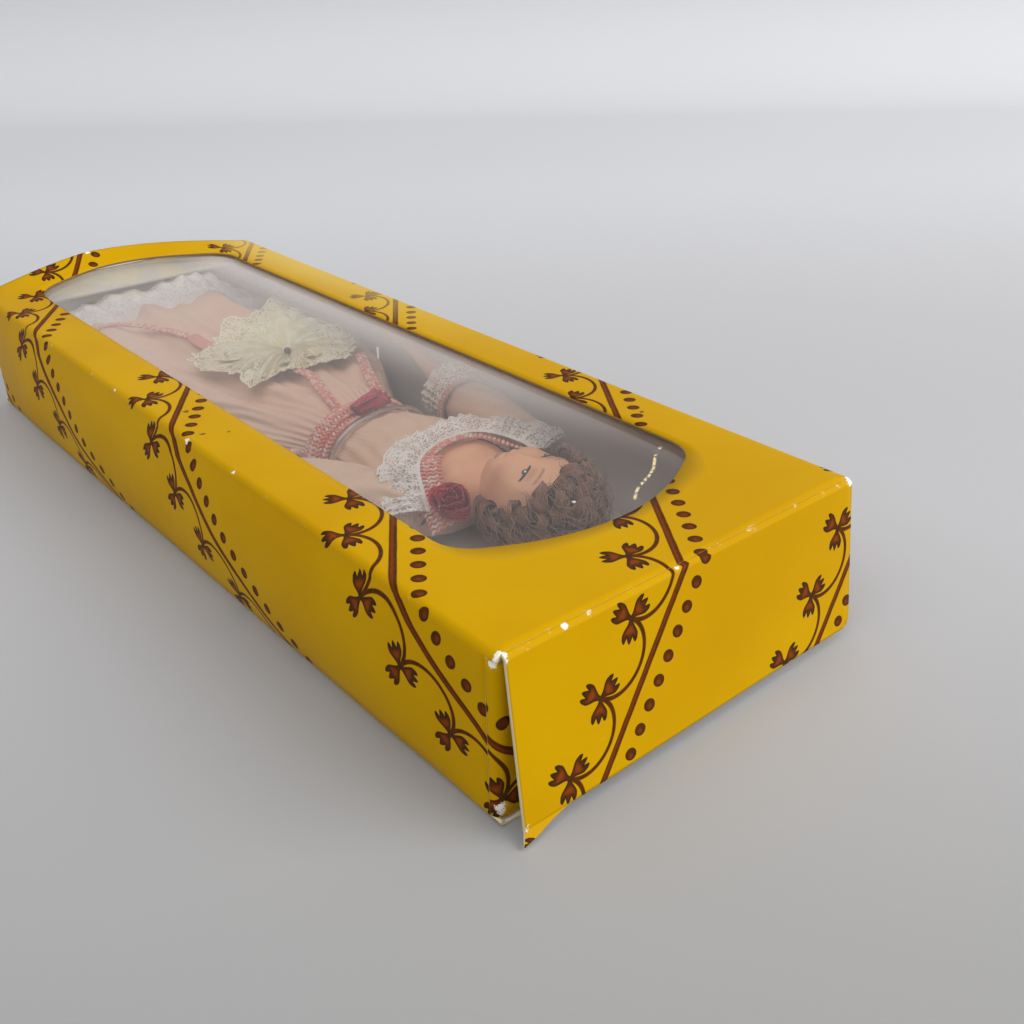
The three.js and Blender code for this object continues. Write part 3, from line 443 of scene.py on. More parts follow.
def sleeve_mesh():
    """The folded board ring: a top panel round its window, and the walls and base that carry it."""
    edge_x = HALF_WIDTH - FOLD
    ends = [87.5, 87.2, 86.6, SLOT_Y, 84.6, 83.4, 82.2, 81, 79.8, 78.6, 77.4, 76.2, 75, 73.6, 72, 70, 67.5,
            65, 62]
    ys = [-y for y in ends] + list(np.linspace(-58, 58, 34)) + ends[::-1]
    xs = list(np.linspace(-edge_x, edge_x, 52))
    outer = ([(-edge_x, y) for y in ys] + [(x, HALF_LENGTH) for x in xs[1:-1]]
             + [(edge_x, y) for y in reversed(ys)] + [(x, -HALF_LENGTH) for x in reversed(xs[1:-1])])
    outline = window_outline()
    points, uv = [], []
    steps, count = 7, len(outer)
    for k in range(steps + 1):
        for x, y in outer:
            centre = np.array((0.0, min(60.0, max(-50.0, y))))
            inner = ray_hit(outline, centre, (x, y))
            t = (k / steps) ** 1.25
            px, py = (1 - t) * np.array((x, y)) + t * inner
            points.append((px, py, HEIGHT + lift(px, py)))
            uv.append((px + HALF_WIDTH, py + HALF_LENGTH))
    faces = [face[::-1] for face in grid_faces(steps + 1, count, closed=True)]
    profile = wall_profile(edge_x)
    base = len(points)
    for y in ys:
        for x, z, u in profile:
            on_wall = FOLD < z < HEIGHT - FOLD and abs(x) > 32
            out = belly(y, z) + dent(y, z, math.copysign(1, x)) if on_wall else 0
            points.append((x + math.copysign(out, x), y, z + (lift(x, y) if z > 20 else 0)))
            uv.append((u, y + HALF_LENGTH))
    rows, columns = len(ys), len(profile)

    def point_at(i, j):
        """The point in row i; the columns beside the profile's are the top panel's edges."""
        if j == -1:
            return i
        if j == columns:
            return 2 * rows + len(xs) - 3 - i
        return base + i * columns + j

    def height(j):
        return HEIGHT if j in (-1, columns) else profile[j][1]

    foot, top = SLOT_LOW - SLOT_SLACK, SLOT_HIGH + SLOT_SLACK
    for i in range(rows - 1):
        in_slot = min(abs(ys[i]), abs(ys[i + 1])) >= SLOT_Y - 1e-6
        for j in range(-1, columns):
            wall_face = abs((profile[max(j, 0)][0] + profile[min(j + 1, columns - 1)][0]) / 2) > 32.2
            here, there = height(j), height(j + 1)
            if (in_slot and wall_face and here < top and there > foot
                    and min(here, there) >= foot and max(here, there) <= top):
                continue
            faces.append((point_at(i, j), point_at(i + 1, j), point_at(i + 1, j + 1), point_at(i, j + 1)))
    return points, faces, uv


def fold_sheet(name, sheet, body, node, out=None):
    """A board panel: a sheet of points, faces and uv thickened inwards; its cut edges take the board edge
    finish, brown with painted shadow.
    """
    points, faces, uv = sheet
    piece = make_piece(name, points, faces, ("printed board", "board inside", "board edge"), uv)
    if out is not None:
        face_out(piece, out)
    modify(piece, "SOLIDIFY", thickness=bpy.context.scene.carton.board * MM, offset=-1, use_even_offset=True,
           material_offset=1, material_offset_rim=2)
    bake_modifiers(piece)
    place(piece, body, "board", node)


RUBS = [  # places where the print is rubbed through to white: x, y, z, radius
    (-31.9, -87.6, 24.6, 1.0), (-32.4, -86.9, 23.4, 0.7), (-32.2, -87.6, 2.4, 1.2), (-31.0, -89.2, 1.4, 0.9),
    (-31.4, -90.4, 2.0, 0.8), (31.6, -88.2, 24.9, 1.0), (-8.0, 87.4, 29.7, 0.5), (-32.4, -12.0, 24.9, 0.7),
    (-32.4, -27.0, 24.9, 0.6), (-32.4, 16.0, 24.9, 0.5), (-22.6, -88.0, 24.9, 0.5), (-4.0, -88.0, 25.0, 0.4),
]
SCUFFS = [  # small dark scuffs: x, y, z, radius
    (-27.5, -2.0, 25.0, 0.55), (-29.5, -12.0, 25.0, 0.5), (-26.0, -14.0, 25.0, 0.35),
    (27.0, -52.0, 25.0, 0.4),
]


def printed_board():
    """Yellow printed board: a vine with sprigs, a rule and a row of beads, on slanting bands."""
    s = bpy.context.scene.carton
    m = Shade("printed board")
    across, along_y, _ = m.split(m.sheet())
    at = m.object_mm()
    slope, scale, start = 0.70, 1.2207, 19.3  # the bands' slope, the print's size, the first band
    wobble = m.noise(m.sheet(), 0.35, 2.0) - 0.5
    index = m.math("FLOOR", (along_y - start - across / slope) / s.band_period + 0.5)
    y = along_y - index * s.band_period
    off = (across - (y - start) * slope) / scale
    on = (y + across * slope) / scale
    rule = m.soft(m.abs(off + wobble * 0.16), 0.62, 0.44)
    cell = (on + 1.0) % s.bead_spacing - s.bead_spacing / 2
    bead = m.oval((cell, 0.86), (off - 3.15, 1.0))
    beads = m.soft(bead + wobble * 0.2, 1.08, 0.94)
    bead_lit = m.oval((cell + 0.2, 0.62), (off - 3.25, 0.72))
    # the vine loops between sprigs
    sp = s.sprig_spacing
    b = off + 6.2
    shift = sp * 5 - 28.65 - 0.15
    loop_at = (on + shift) % sp - sp / 2
    loop = m.oval((loop_at, 5.1), (b - 0.2, 4.5))
    vine = m.soft(m.abs(loop - 1.0), 0.085, 0.045) * (b > -0.3)
    # a sprig: three notched lobes from one stem
    a = (on + shift + sp / 2) % sp - sp / 2
    sprigs, tips, glow = [], [], []
    for angle, reach in ((178, 1.0), (62, 0.95), (-66, 0.95)):
        c, n = math.cos(math.radians(angle)), math.sin(math.radians(angle))
        u = (a * n + b * c) / reach
        v = m.abs(a * c - b * n + wobble * 0.25)
        wide = m.soft(u, 0.2, 2.3) * 1.02 + 0.32
        crown = m.abs(m.math("COSINE", v * 3.1)) * 0.85 - v * 0.22 + 2.72
        lobe = m.soft(v - wide, 0.1, -0.06) * m.soft(u - crown, 0.08, -0.08) * m.soft(u, -0.1, 0.1)
        sprigs.append(lobe)
        tips.append(m.most(m.soft(u - crown, -1.15, -0.2), m.soft(v - wide, -0.42, -0.02)) * lobe)
        glow.append(m.soft(v - wide, -0.2, -0.8) * m.soft(m.abs(u - 1.6), 0.85, 0.1) * lobe)
    motif = m.most(rule, beads, vine, *sprigs)
    light = m.most(m.most(*glow) * 0.5, m.soft(bead_lit, 0.9, 0.2) * beads * 0.3)
    dark = m.soft(m.noise(m.sheet(), 0.9, 3.0), 0.42, 0.66) * 0.75
    brown = m.mix(dark, s.print_motif, rgb(50, 21, 12))
    brown = m.mix(m.most(m.most(*tips) * 0.95, m.soft(bead, 0.6, 1.0) * beads * 0.8), brown, rgb(34, 18, 20))
    rule_lit = m.soft(m.abs(off + 0.1), 0.32, 0.05) * rule * 0.28
    brown = m.mix(m.most(light * 0.85, rule_lit), brown, rgb(158, 66, 18))
    ground = m.mix(m.soft(m.noise(at, 0.035, 3.0), 0.3, 0.75), s.print_ground, rgb(184, 139, 0))
    ground = m.mix(m.noise(at, 3.2, 2.0) * 0.10, ground, rgb(168, 120, 0))
    ink = m.mix(motif * 0.96, ground, brown)
    # paled along the far edge by a painted sheen; rubbed at corners and folds down to the white core
    x, yy, z = m.split(at)
    # painted sheen: the print turns pale towards the far long edge
    ink = m.mix(m.soft(x, 20.0, 31.0) * m.soft(yy, -30.0, 70.0) * 0.45, ink, rgb(224, 200, 120))
    grain = m.noise(at, 1.6, 4.0, 0.65)
    fold_x = m.soft(m.abs(x), 31.7, 32.2) * m.soft(z, 24.15, 24.6)
    fold_end = m.soft(m.abs(yy), 87.1, 87.5) * m.soft(z, 24.3, 24.9)
    fold = m.most(fold_x, fold_end)
    patches = m.soft(m.noise(at, 0.33, 5.0, 0.75), 0.60, 0.72) * fold
    rubs = [m.soft(m.apart(at, spot) / r + (grain - 0.5) * 1.9, 1.0, 0.75) for *spot, r in RUBS]
    white = m.most(patches * m.soft(grain, 0.47, 0.55), *rubs) * s.wear
    ragged = (m.noise(at, 2.6, 3.0) - 0.5) * 3.0
    spots = m.most(*[m.soft(m.apart(at, spot) / r + ragged, 1.0, 0.8) for *spot, r in SCUFFS])
    worn = m.soft(m.noise(at, 0.5, 4.0, 0.7), 0.62, 0.8) * fold * 0.5
    colour = m.mix(worn, ink, rgb(232, 205, 110))
    colour = m.mix(white, colour, rgb(232, 228, 218))
    colour = m.mix(spots * 0.8, colour, rgb(74, 48, 14))
    crease = m.soft(m.noise(m.vector(x * 0.3, yy * 0.3, z * 2.2), 0.8, 4.0, 0.7), 0.66, 0.78) * 0.16
    colour = m.mix(crease, colour, rgb(236, 204, 60))
    rough = m.noise(at, 0.25, 4.0) * 0.12 + white * 0.4 + 0.36
    height = m.noise(at, 0.8, 4.0, 0.6) * 0.5 + m.noise(at, 5.0, 2.0) * 0.12 - white * 0.5
    normal = m.bump(height, 0.05, 0.5)
    m.coat(base_color=colour, roughness=rough, normal=normal, specular_ior_level=0.03)


def board_inside():
    m = Shade("board inside")
    at = m.object_mm()
    fibres = m.noise(at, 2.4, 4.0, 0.7)
    tone = m.mix(m.noise(at, 0.05, 2.0), rgb(226, 216, 208), rgb(236, 228, 220))
    colour = m.mix(m.soft(fibres, 0.55, 0.75) * 0.25, tone, rgb(196, 184, 174))
    m.coat(base_color=colour, roughness=0.85, normal=m.bump(fibres, 0.03, 0.5))


def tucked_print():
    """The tuck's yellow face, greyed and mottled, seen through the film at the foot end."""
    m = Shade("tucked print")
    at = m.object_mm()
    x, _, z = m.split(at)
    pattern = m.soft(m.noise(m.vector(x * 0.35, z * 1.2), 0.5, 3.0), 0.4, 0.62)
    colour = m.mix(pattern, rgb(214, 204, 164), rgb(196, 192, 186))
    colour = m.mix(m.noise(at, 2.2, 3.0) * 0.2, colour, rgb(236, 230, 214))
    m.coat(base_color=colour, roughness=0.8, normal=m.bump(pattern, 0.02, 0.3))


def board_edge():
    m = Shade("board edge")
    at = m.object_mm()
    fibres = m.noise(at, 4.0, 3.0, 0.7)
    _, y, _ = m.split(at)
    # the cut edges are brown, the board's edge with a painted shadow along the window; towards the head end
    # they turn pale
    toward_head_end = m.soft(y, -60.0, -78.0)
    edge_and_shadow = m.mix(fibres, rgb(112, 82, 40), rgb(150, 116, 62))
    colour = m.mix(toward_head_end, edge_and_shadow, rgb(206, 192, 150))
    m.coat(base_color=colour, roughness=0.8, normal=m.bump(fibres, 0.05, 0.6))


class DOLL_OT_board_finishes(bpy.types.Operator):
    """Make the printed, plain and cut finishes of the board"""

    bl_idname = "doll.board_finishes"
    bl_label = "Board Finishes"

    def execute(self, context):
        printed_board()
        board_inside()
        tucked_print()
        board_edge()
        return {"FINISHED"}


class DOLL_OT_carton_sleeve(bpy.types.Operator):
    """Build the folded board ring with its window"""

    bl_idname = "doll.carton_sleeve"
    bl_label = "Carton Sleeve"

    def execute(self, context):
        fold_sheet("sleeve_board", sleeve_mesh(), "carton", "carton_sleeve")
        return {"FINISHED"}


class DOLL_OT_end_flaps(bpy.types.Operator):
    """Build the two end flaps and the four dust flaps"""

    bl_idname = "doll.end_flaps"
    bl_label = "End Flaps"

    HALF, CORNER, GAP = 31.6, 1.5, 0.25
    CREASE_Y, CREASE_Z = 88.05, 24.6

    def half_at(self, d, depth):
        """Half of a flap's width at a distance from its crease: its corners are rounded."""
        low = max(0, (d - depth + self.CORNER) / self.CORNER)
        return self.HALF - self.CORNER * (1 - math.sqrt(max(0, 1 - low**2)))

    def head_flap(self):
        half, depth, tilt = self.HALF, 23.0, math.radians(7)
        torn = 22  # columns of the torn corner
        points, uv = [], []
        columns = np.concatenate([np.linspace(-half, -25.4, torn), np.linspace(-24.4, half, 46)])
        crease = [(-0.55, 0.4), (-0.4, 0.36), (-0.2, 0.27), (-0.05, 0.13)]
        for out, rise in crease:
            for x in columns:
                points.append((x, -self.CREASE_Y - out - 0.02, self.CREASE_Z + rise))
                uv.append((x + HALF_WIDTH, 0.6 + out))
        panel = np.concatenate([[0.05, 0.3], np.linspace(1, depth - 0.4, 24), [depth]])
        for d in panel:
            for x in columns:
                px = min(x, self.half_at(d, depth))
                warp = 0.12 * math.sin(x / 11) * d / depth
                y = -self.CREASE_Y - self.GAP - d * math.sin(tilt) + warp
                points.append((px, y, self.CREASE_Z - d * math.cos(tilt)))
                uv.append((px + HALF_WIDTH, -d))
        rows = len(crease) + len(panel)
        faces = grid_faces(rows, len(columns))
        # the torn corner of the tuck curls out to the table
        last = [(rows - 1) * len(columns) + i for i in range(torn)]
        steps = 8
        for k in range(1, steps + 1):
            t = k / steps
            bend = math.pi / 2 * 1.05 * t
            ragged = 0.55 * math.sin(5.1 * k + 3) + 0.35 * math.sin(11.3 * k)
            left = -half - 1.2 * t * t
            right = left + 7.3 * (1 - t**1.3) + 0.3 + (ragged if k < steps else 0)
            y = -self.CREASE_Y - self.GAP - depth * math.sin(tilt) - 0.8 * (1 - math.cos(bend)) - 0.3 * t * t
            z = self.CREASE_Z - (depth + 0.02) * math.cos(tilt) - 1.1 * math.sin(bend) * t - 0.02
            row = []
            for i in range(torn):
                x = left + (right - left) * (i / (torn - 1))
                row.append(len(points))
                points.append((x, y, max(z, 0.55)))
                uv.append((x + HALF_WIDTH, -depth - 3.4 * t))
            faces += [(last[i], last[i + 1], row[i + 1], row[i]) for i in range(torn - 1)]
            last = row
        return points, faces, uv

    def foot_flap(self):
        depth = 24.8
        points, uv = [], []
        columns, rows = np.linspace(-self.HALF, self.HALF, 40), np.linspace(0.3, depth, 22)
        for d in rows:
            side = self.half_at(d, depth)
            for x in columns:
                px = max(-side, min(x, side))
                points.append((px, self.CREASE_Y + self.GAP, 0.45 + d))
                uv.append((px + HALF_WIDTH, 2 * HALF_LENGTH + (HEIGHT - d)))
        return points, grid_faces(len(rows), len(columns)), uv

    def dust_flap(self, end, side):
        """One dust flap: end is -1 at the head, side is -1 on the doll's left."""
        fold, low, high = 1.6, 1.0, 24.0
        line = [(-fold * math.cos(a), -fold * math.sin(a), fold * a) for a in np.linspace(0, math.pi / 2, 9)]
        line += [(x, -fold, fold * math.pi / 2 + x) for x in np.linspace(0.5, 19, 16)]
        points, uv = [], []
        rows = 14
        for x, y, run in line:
            taper = 0 if x < 3 else 3.6 * min(1, 0.6 + (x - 3) / 30) * smooth_step((x - 3) / 2.5)
            taper += 2 * smooth_step((x - 17) / 2)
            v = -run + 1.8 if end < 0 else 173.2 + run
            for k in range(rows):
                z = low + taper + (high - low - 2 * taper) * k / (rows - 1)
                points.append((side * 30.9 - side * x, end * SLOT_Y - end * y, z))
                uv.append((-(HEIGHT - z) if side < 0 else 2 * HALF_WIDTH + (HEIGHT - z), v))
        return points, grid_faces(len(line), rows), uv

    def execute(self, context):
        fold_sheet("head_flap_board", self.head_flap(), "head_end_flap", "head_end_flap", (0, -1, 0))
        fold_sheet("foot_flap_board", self.foot_flap(), "foot_end_flap", "foot_end_flap", (0, 1, 0))
        for end, end_name in ((-1, "head"), (1, "foot")):
            for side, side_name in ((-1, "left"), (1, "right")):
                node = f"{end_name}_dust_flap_{side_name}"
                fold_sheet(f"{end_name}_dust_board_{side_name}", self.dust_flap(end, side), node, node,
                           (0, end, 0))
        refinish("head_end_tongue", "board inside")
        refinish("foot_end_tongue", "tucked print")
        refinish("backing_card", "board inside")
        return {"FINISHED"}


class DOLL_OT_window_film(bpy.types.Operator):
    """Build the clear film behind the window"""

    bl_idname = "doll.window_film"
    bl_label = "Window Film"

    def execute(self, context):
        m = Shade("window film")
        at = m.object_mm()
        x, y, _ = m.split(at)
        # whiter towards the foot: the film's haze with a painted reflection
        foot = m.soft(y, -45.0, 78.0)
        streaks = m.noise(m.vector(x * 0.8, y * 0.12), 0.12, 3.0, 0.6)
        # painted light: a whiter patch of film over the shaded inner wall near the head
        light_over_inner_wall = m.soft(x, 7.0, 20.0) * m.soft(y, -66.0, -20.0)
        haze_and_painted_light = foot * 0.16 + streaks * 0.045 + light_over_inner_wall * 0.27
        edge = m.soft(m.abs(x), 14.0, 23.0) * 0.05
        # a crease in the film near the head, with a painted yellow glint along it
        along = (x - 6.0) * 0.857 + (y + 71.0) * 0.515
        off = (y + 71.0) * 0.857 - (x - 6.0) * 0.515 - m.sine(along * 0.5) * 0.35
        span = m.soft(along, -0.5, 1.0) * m.soft(along, 18.5, 17.0)
        glint = m.soft(m.abs(off), 0.35, 0.05) * span * m.soft(m.noise(at, 1.2, 3.0), 0.4, 0.55)
        # a painted glint: a small bright spot on the film
        glint_speck = m.soft(m.apart(at, (-0.6, -65.8, 24.3)), 0.5, 0.25)
        # a painted glint: a short bright streak across the film
        beside = (x - 11.0) * 0.845 - (y + 0.6) * 0.534
        glint_streak = m.soft(m.abs(beside), 0.3, 0.05) * m.soft(m.abs(y - 1.8), 2.9, 2.2)
        haze_and_painted_light = m.least(haze_and_painted_light + edge + (glint + glint_speck) * 0.9 + glint_streak * 0.3, 1.0)
        waves = m.noise(m.vector(x * 0.5, y), 0.06, 3.0)
        gloss = m.principled(base_color=m.mix(glint, rgb(240, 230, 222), rgb(240, 214, 130)), roughness=0.18,
                             specular_ior_level=0.7, normal=m.bump(waves, 1.2, 0.3))
        shine = m.node("ShaderNodeBsdfGlossy", {"Color": (1, 1, 1, 1), "Roughness": 0.06,
                                                "Normal": m.bump(waves, 1.2, 0.3)})
        clear = m.node("ShaderNodeBsdfTransparent", {"Color": (1, 1, 1, 1)})
        fresnel = m.node("ShaderNodeFresnel", {"IOR": 1.40})
        glass = m.node("ShaderNodeMixShader", {0: fresnel, 1: clear, 2: shine})
        m.done(m.node("ShaderNodeMixShader", {0: haze_and_painted_light, 1: glass, 2: gloss}))
        xs, ys = np.linspace(-27, 27, 28), np.linspace(-79.5, 84.5, 84)
        points = []
        for yy in ys:
            for xx in xs:
                sag = 0.12 * math.sin(xx / 7) * math.sin(yy / 19)
                points.append((xx, yy, 24.2 - 0.1 + lift(xx, yy) * 0.98 - 0.08 + sag * 0.5))
        piece = make_piece("film_sheet", points, grid_faces(len(ys), len(xs)), m.material.name)
        face_out(piece, (0, 0, 1))
        place(piece, "carton", "film", "window_film")
        return {"FINISHED"}


# Doll shapes: the body lies on its back, its spine leaning towards the doll's right

LEAN, HEAD_TILT = 8.0, 19.0
WAIST, HEAD = np.array((3.5, -4.0, 0.0)), np.array((10.1, -45.6, 12.9))
TORSO = [(9, 7.5, 12.6, 6.2), (6, 9.6, 13.8, 5.2), (2, 9.6, 14, 5.2), (-2, 7.9, 14, 5.8),
         (-8, 8.4, 15.6, 5.4), (-15, 9.4, 16.4, 5.2), (-20, 9.8, 15.9, 5.2), (-23.6, 9, 14.8, 5.8)]
BODICE = [(-2.9, 10.4, 16.9, 3.2), (-7, 10.7, 17.5, 3), (-12, 11.4, 18.1, 2.9), (-18, 12.4, 18.3, 2.9),
          (-23, 13.2, 17.8, 3), (-27, 13, 17, 3.4), (-30, 10.6, 16, 4.6), (-31.8, 6.4, 15.4, 7.6)]
SASH = [(-2.6, 10.6, 17, 3.1), (-1.7, 11.3, 17.8, 2.8), (-0.3, 11.5, 18, 2.8), (0.9, 11.2, 17.7, 2.9),
        (1.6, 10.6, 17.1, 3.1)]
SKIRT = [(-1.9, 3.6, 10.6, 17.1, 3.2), (2.4, 3.8, 13.5, 18, 2.9), (10.7, 3.9, 18.2, 18.8, 2.8),
         (20.9, 3.6, 23.2, 19.3, 2.8), (33.1, 3.2, 27.2, 19.4, 2.8), (49.5, 2.6, 28.4, 19.4, 2.8),
         (63.7, 2, 28.8, 19.8, 2.8), (72, 1.8, 29, 20, 2.8), (84, 1.8, 29, 20, 2.8)]
BUST = [(-39.5, 0.1, 3.6, 15.4, 8.6), (-37, -0.2, 3.7, 15.6, 8.4), (-34.4, -0.6, 4.0, 15.6, 8.2),
        (-32.4, -0.8, 5.2, 15.6, 8.0), (-31, -0.8, 7.4, 15.9, 7.4), (-29.4, -0.6, 9.4, 16.6, 6.8),
        (-27.4, -0.2, 9.6, 17.3, 6.0), (-24.4, 0, 9.6, 17.3, 5.8)]
NECKLINE = [(-14.4, -33.4, 13.6), (-12.2, -29.6, 16.2), (-9.6, -26.4, 17.8), (-6.0, -24.6, 18.4),
            (-1.6, -24.1, 18.6), (2.6, -24.5, 18.5), (5.4, -26, 18.2), (7.4, -28.8, 17.6), (9.2, -32, 16.4),
            (9.8, -35, 15)]
BRAID_LINE = [(-14.6, -36.6, 12.2), (-13.3, -33.6, 14.2), (-11.7, -30.6, 16.0), (-9.8, -28.0, 17.4),
              (-7.4, -26.2, 18.1), (-4.8, -25.3, 18.5), (-2, -24.9, 18.6), (1.4, -25.2, 18.5),
              (4.0, -26.6, 18.1), (5.8, -29.2, 17.4), (7.4, -32.0, 16.5), (8.6, -34.0, 15.8)]
ARMS = {"right": [(0, 0, 0), (2.2, 12, 0.2), (4.4, 25, 0.8), (6.8, 38, 3.6), (8, 47, 5.8), (8.2, 55.5, 8)],
        "left": [(0, 0, 0), (-4.6, 12, -0.2), (-9.4, 24, -0.4), (-13.6, 35, -0.8), (-16.4, 43, -1.4),
                 (-18.2, 51, -2.2)]}
SHOULDER, HIP = (15.5, -26, 12), (4.8, 10.6, 9.3)
SIDES = {"right": 1, "left": -1}


def spin(points, degrees):
    a = math.radians(degrees)
    p = np.array(points, float)
    x = p[..., 0] * math.cos(a) - p[..., 1] * math.sin(a)
    y = p[..., 0] * math.sin(a) + p[..., 1] * math.cos(a)
    return np.stack([x, y, p[..., 2]], axis=-1)


def on_spine(points):
    return spin(points, LEAN) + WAIST


def on_head(points):
    return spin(points, HEAD_TILT) + HEAD


def between(table, station):
    rows = np.array(sorted(table))
    return [float(np.interp(station, rows[:, 0], rows[:, k])) for k in range(1, rows.shape[1])]


def body_ring(y, x, half, front, back, columns, fold=0.0, tilt=0.0, grow=0.0, back_grow=None, arc=None):
    """A cross-section of a body on its back: fuller in front, flattened behind."""
    angle = np.linspace(0, 2 * np.pi, columns, endpoint=False) if arc is None else arc
    c, s = np.cos(angle), np.sin(angle)
    back_grow = grow if back_grow is None else back_grow
    middle = (front + back) / 2 - 0.6
    across = (half + grow + fold) * np.sign(c) * np.abs(c) ** 0.9
    up = np.where(s > 0, (front - middle + grow + fold) * np.abs(s) ** 0.85,
                  -(middle - back + back_grow + fold * 0.3) * np.abs(s) ** 0.6)
    return np.stack([x + across * math.cos(tilt), y + across * math.sin(tilt), middle + up], axis=-1)


def limb(path, radii, columns, shape=None):
    """Rings round a limb's path; radii(t) gives side and up, shape(t, angle) swells or creases it."""
    path = np.array(path, float)
    along = unit_rows(np.gradient(path, axis=0))
    angle = np.linspace(0, 2 * np.pi, columns, endpoint=False)[:, None]
    rings = []
    for i, (p, a) in enumerate(zip(path, along)):
        t = i / (len(path) - 1)
        side = np.array((-a[1], a[0], 0.0))
        side = side / (np.linalg.norm(side) + 1e-9) if abs(a[2]) < 0.98 else np.array((1.0, 0, 0))
        up = -np.cross(side, a)
        rs, ru = radii(t)
        more = 1.0 if shape is None else shape(t, angle)
        rings.append(p + more * (rs * np.cos(angle) * side + ru * np.sin(angle) * up))
    return rings


def shoulder_joint(out):
    return on_spine((out * SHOULDER[0], SHOULDER[1], SHOULDER[2]))


def arm_path(side, start, end, count):
    line = curve_points(ARMS[side], 400)
    at = np.linspace(start, end, count)
    inside = along_path(line, path_run(line), at)
    first = (line[1] - line[0]) / np.linalg.norm(line[1] - line[0])
    inside += np.minimum(at, 0)[:, None] * first
    return shoulder_joint(SIDES[side]) + inside


def table_radii(table):
    rows = np.array([row if len(row) == 3 else (*row, row[1]) for row in table])
    return lambda t: (np.interp(t, rows[:, 0], rows[:, 1]), np.interp(t, rows[:, 0], rows[:, 2]))


def skirt_top(x, y):
    cx, w, f, b = between(SKIRT, y)
    middle = (f + b) / 2 - 0.6
    c = min(0.98, (abs(x - cx) / w) ** (1 / 0.9))
    return middle + (f - middle) * math.sqrt(1 - c * c) ** 0.85


def rough_at(p, scale, seed=0.0):
    return hills.noise(Vector((p[0] * scale + seed, p[1] * scale - seed, p[2] * scale + 0.5 * seed)))


def cloth(name, grid, finish, uv=None, closed=False):
    """A sheet of cloth from a grid of points."""
    grid = np.array(grid, float)
    rows, columns = grid.shape[:2]
    flat = None if uv is None else np.array(uv, float).reshape(-1, 2)
    return make_piece(name, grid.reshape(-1, 3), grid_faces(rows, columns, closed), finish, flat)


def solid(name, rings, finish, uv=None):
    points, faces = skin([np.array(r) for r in rings])
    if uv is not None:
        flat = [tuple(p) for row in uv for p in row]
        uv = flat + [flat[0], flat[-1]]
    return face_out(make_piece(name, points, faces, finish, uv))


# Doll finishes


def painted_bisque():
    """Matt flesh bisque; the head carries painted eyes, brows, lips and a blush."""
    s = bpy.context.scene.doll
    plain = Shade("plain bisque")
    at = plain.object_mm()
    tone = plain.mix(plain.soft(plain.noise(at, 0.18, 3.0), 0.35, 0.7) * 0.3, s.flesh, rgb(224, 158, 124))
    rough = plain.noise(at, 0.6, 3.0) * 0.15 + 0.42
    plain.coat(base_color=tone, roughness=rough, normal=plain.bump(plain.noise(at, 4.0, 3.0), 0.02, 0.3),
               subsurface_weight=0.12, subsurface_scale=0.0012, specular_ior_level=0.35)
    m = Shade("painted face")
    at = m.object_mm((0, 0, math.radians(-HEAD_TILT)), tuple(HEAD))
    x, y, z = m.split(at)
    front = m.soft(z, 0.5, 3.0)
    side = m.abs(x)
    colour = m.mix(m.soft(m.noise(at, 0.2, 3.0), 0.35, 0.7) * 0.25, s.flesh, rgb(208, 158, 134))

    def oval(cx, cy, rx, ry):
        return m.oval((side - cx, rx), (y - cy, ry))

    blush = m.soft(oval(4.4, 4.0, 3.0, 2.8), 1.0, 0.0) * 0.36
    colour = m.mix(blush, colour, rgb(212, 142, 120))
    # painted shade in the eye sockets
    socket = m.soft(oval(3.2, -0.9, 2.5, 1.6), 1.0, 0.2) * 0.3
    colour = m.mix(socket, colour, rgb(176, 124, 100))
    off = side - 3.5
    brow_line = y + 2.75 - off * off * 0.13
    brow = m.soft(m.abs(brow_line), 0.42, 0.08) * m.soft(m.abs(off + 0.1), 2.1, 1.3)
    hairs = m.soft(m.noise(m.vector(x * 3.2, y * 0.9 + x * 1.4), 1.3, 2.0), 0.32, 0.62)
    colour = m.mix(brow * (hairs * 0.4 + 0.3), colour, rgb(150, 104, 80))
    lid = y + 0.25 - off * off * 0.10
    lash = m.soft(m.abs(lid), 0.26, 0.10) * m.soft(m.abs(off), 2.0, 1.5)
    white = (lid > 0.0) * m.soft(lid + off * off * 0.36, 0.62, 0.5) * m.soft(m.abs(off), 1.45, 1.3)
    colour = m.mix(white, colour, rgb(176, 156, 140))
    iris = m.soft(oval(3.5, 0.05, 0.62, 0.5), 1.0, 0.8) * (lid > -0.1)
    colour = m.mix(iris, colour, rgb(52, 40, 36))
    colour = m.mix(lash, colour, rgb(44, 30, 26))
    # painted shade in the fold of the lid
    crease = m.soft(m.abs(lid + 0.85), 0.2, 0.04) * m.soft(m.abs(off), 1.6, 1.0) * 0.2
    colour = m.mix(crease, colour, rgb(150, 100, 80))
    glint = m.soft(oval(3.42, 0.0, 0.24, 0.22), 1.0, 0.7)
    colour = m.mix(glint, colour, rgb(250, 250, 250))
    bow_shape = m.soft(m.abs(side - 0.55), 0.0, 0.9) * 0.22
    upper = m.soft(oval(0.0, 6.72, 1.45, 0.42) + bow_shape, 1.12, 0.9) * (y < 7.0)
    lower = m.soft(oval(0.0, 7.1, 1.1, 0.55), 1.1, 0.85) * (y > 6.95)
    colour = m.mix(m.most(upper, lower) * 0.65, colour, rgb(186, 112, 100))
    mouth = m.soft(m.abs(y - 6.98), 0.14, 0.03) * m.soft(side, 1.35, 0.9) * 0.6
    colour = m.mix(mouth, colour, rgb(120, 62, 52))
    nostril = m.soft(oval(0.5, 5.0, 0.28, 0.2), 1.0, 0.4) * 0.4
    colour = m.mix(nostril, colour, rgb(160, 98, 78))
    colour = m.mix(front, s.flesh, colour)
    rough = m.noise(at, 0.6, 3.0) * 0.12 + 0.44 - (glint + iris) * 0.2
    m.coat(base_color=colour, roughness=rough, normal=m.bump(m.noise(at, 4.0, 3.0), 0.02, 0.25),
           subsurface_weight=0.12, subsurface_scale=0.0012, specular_ior_level=0.35)


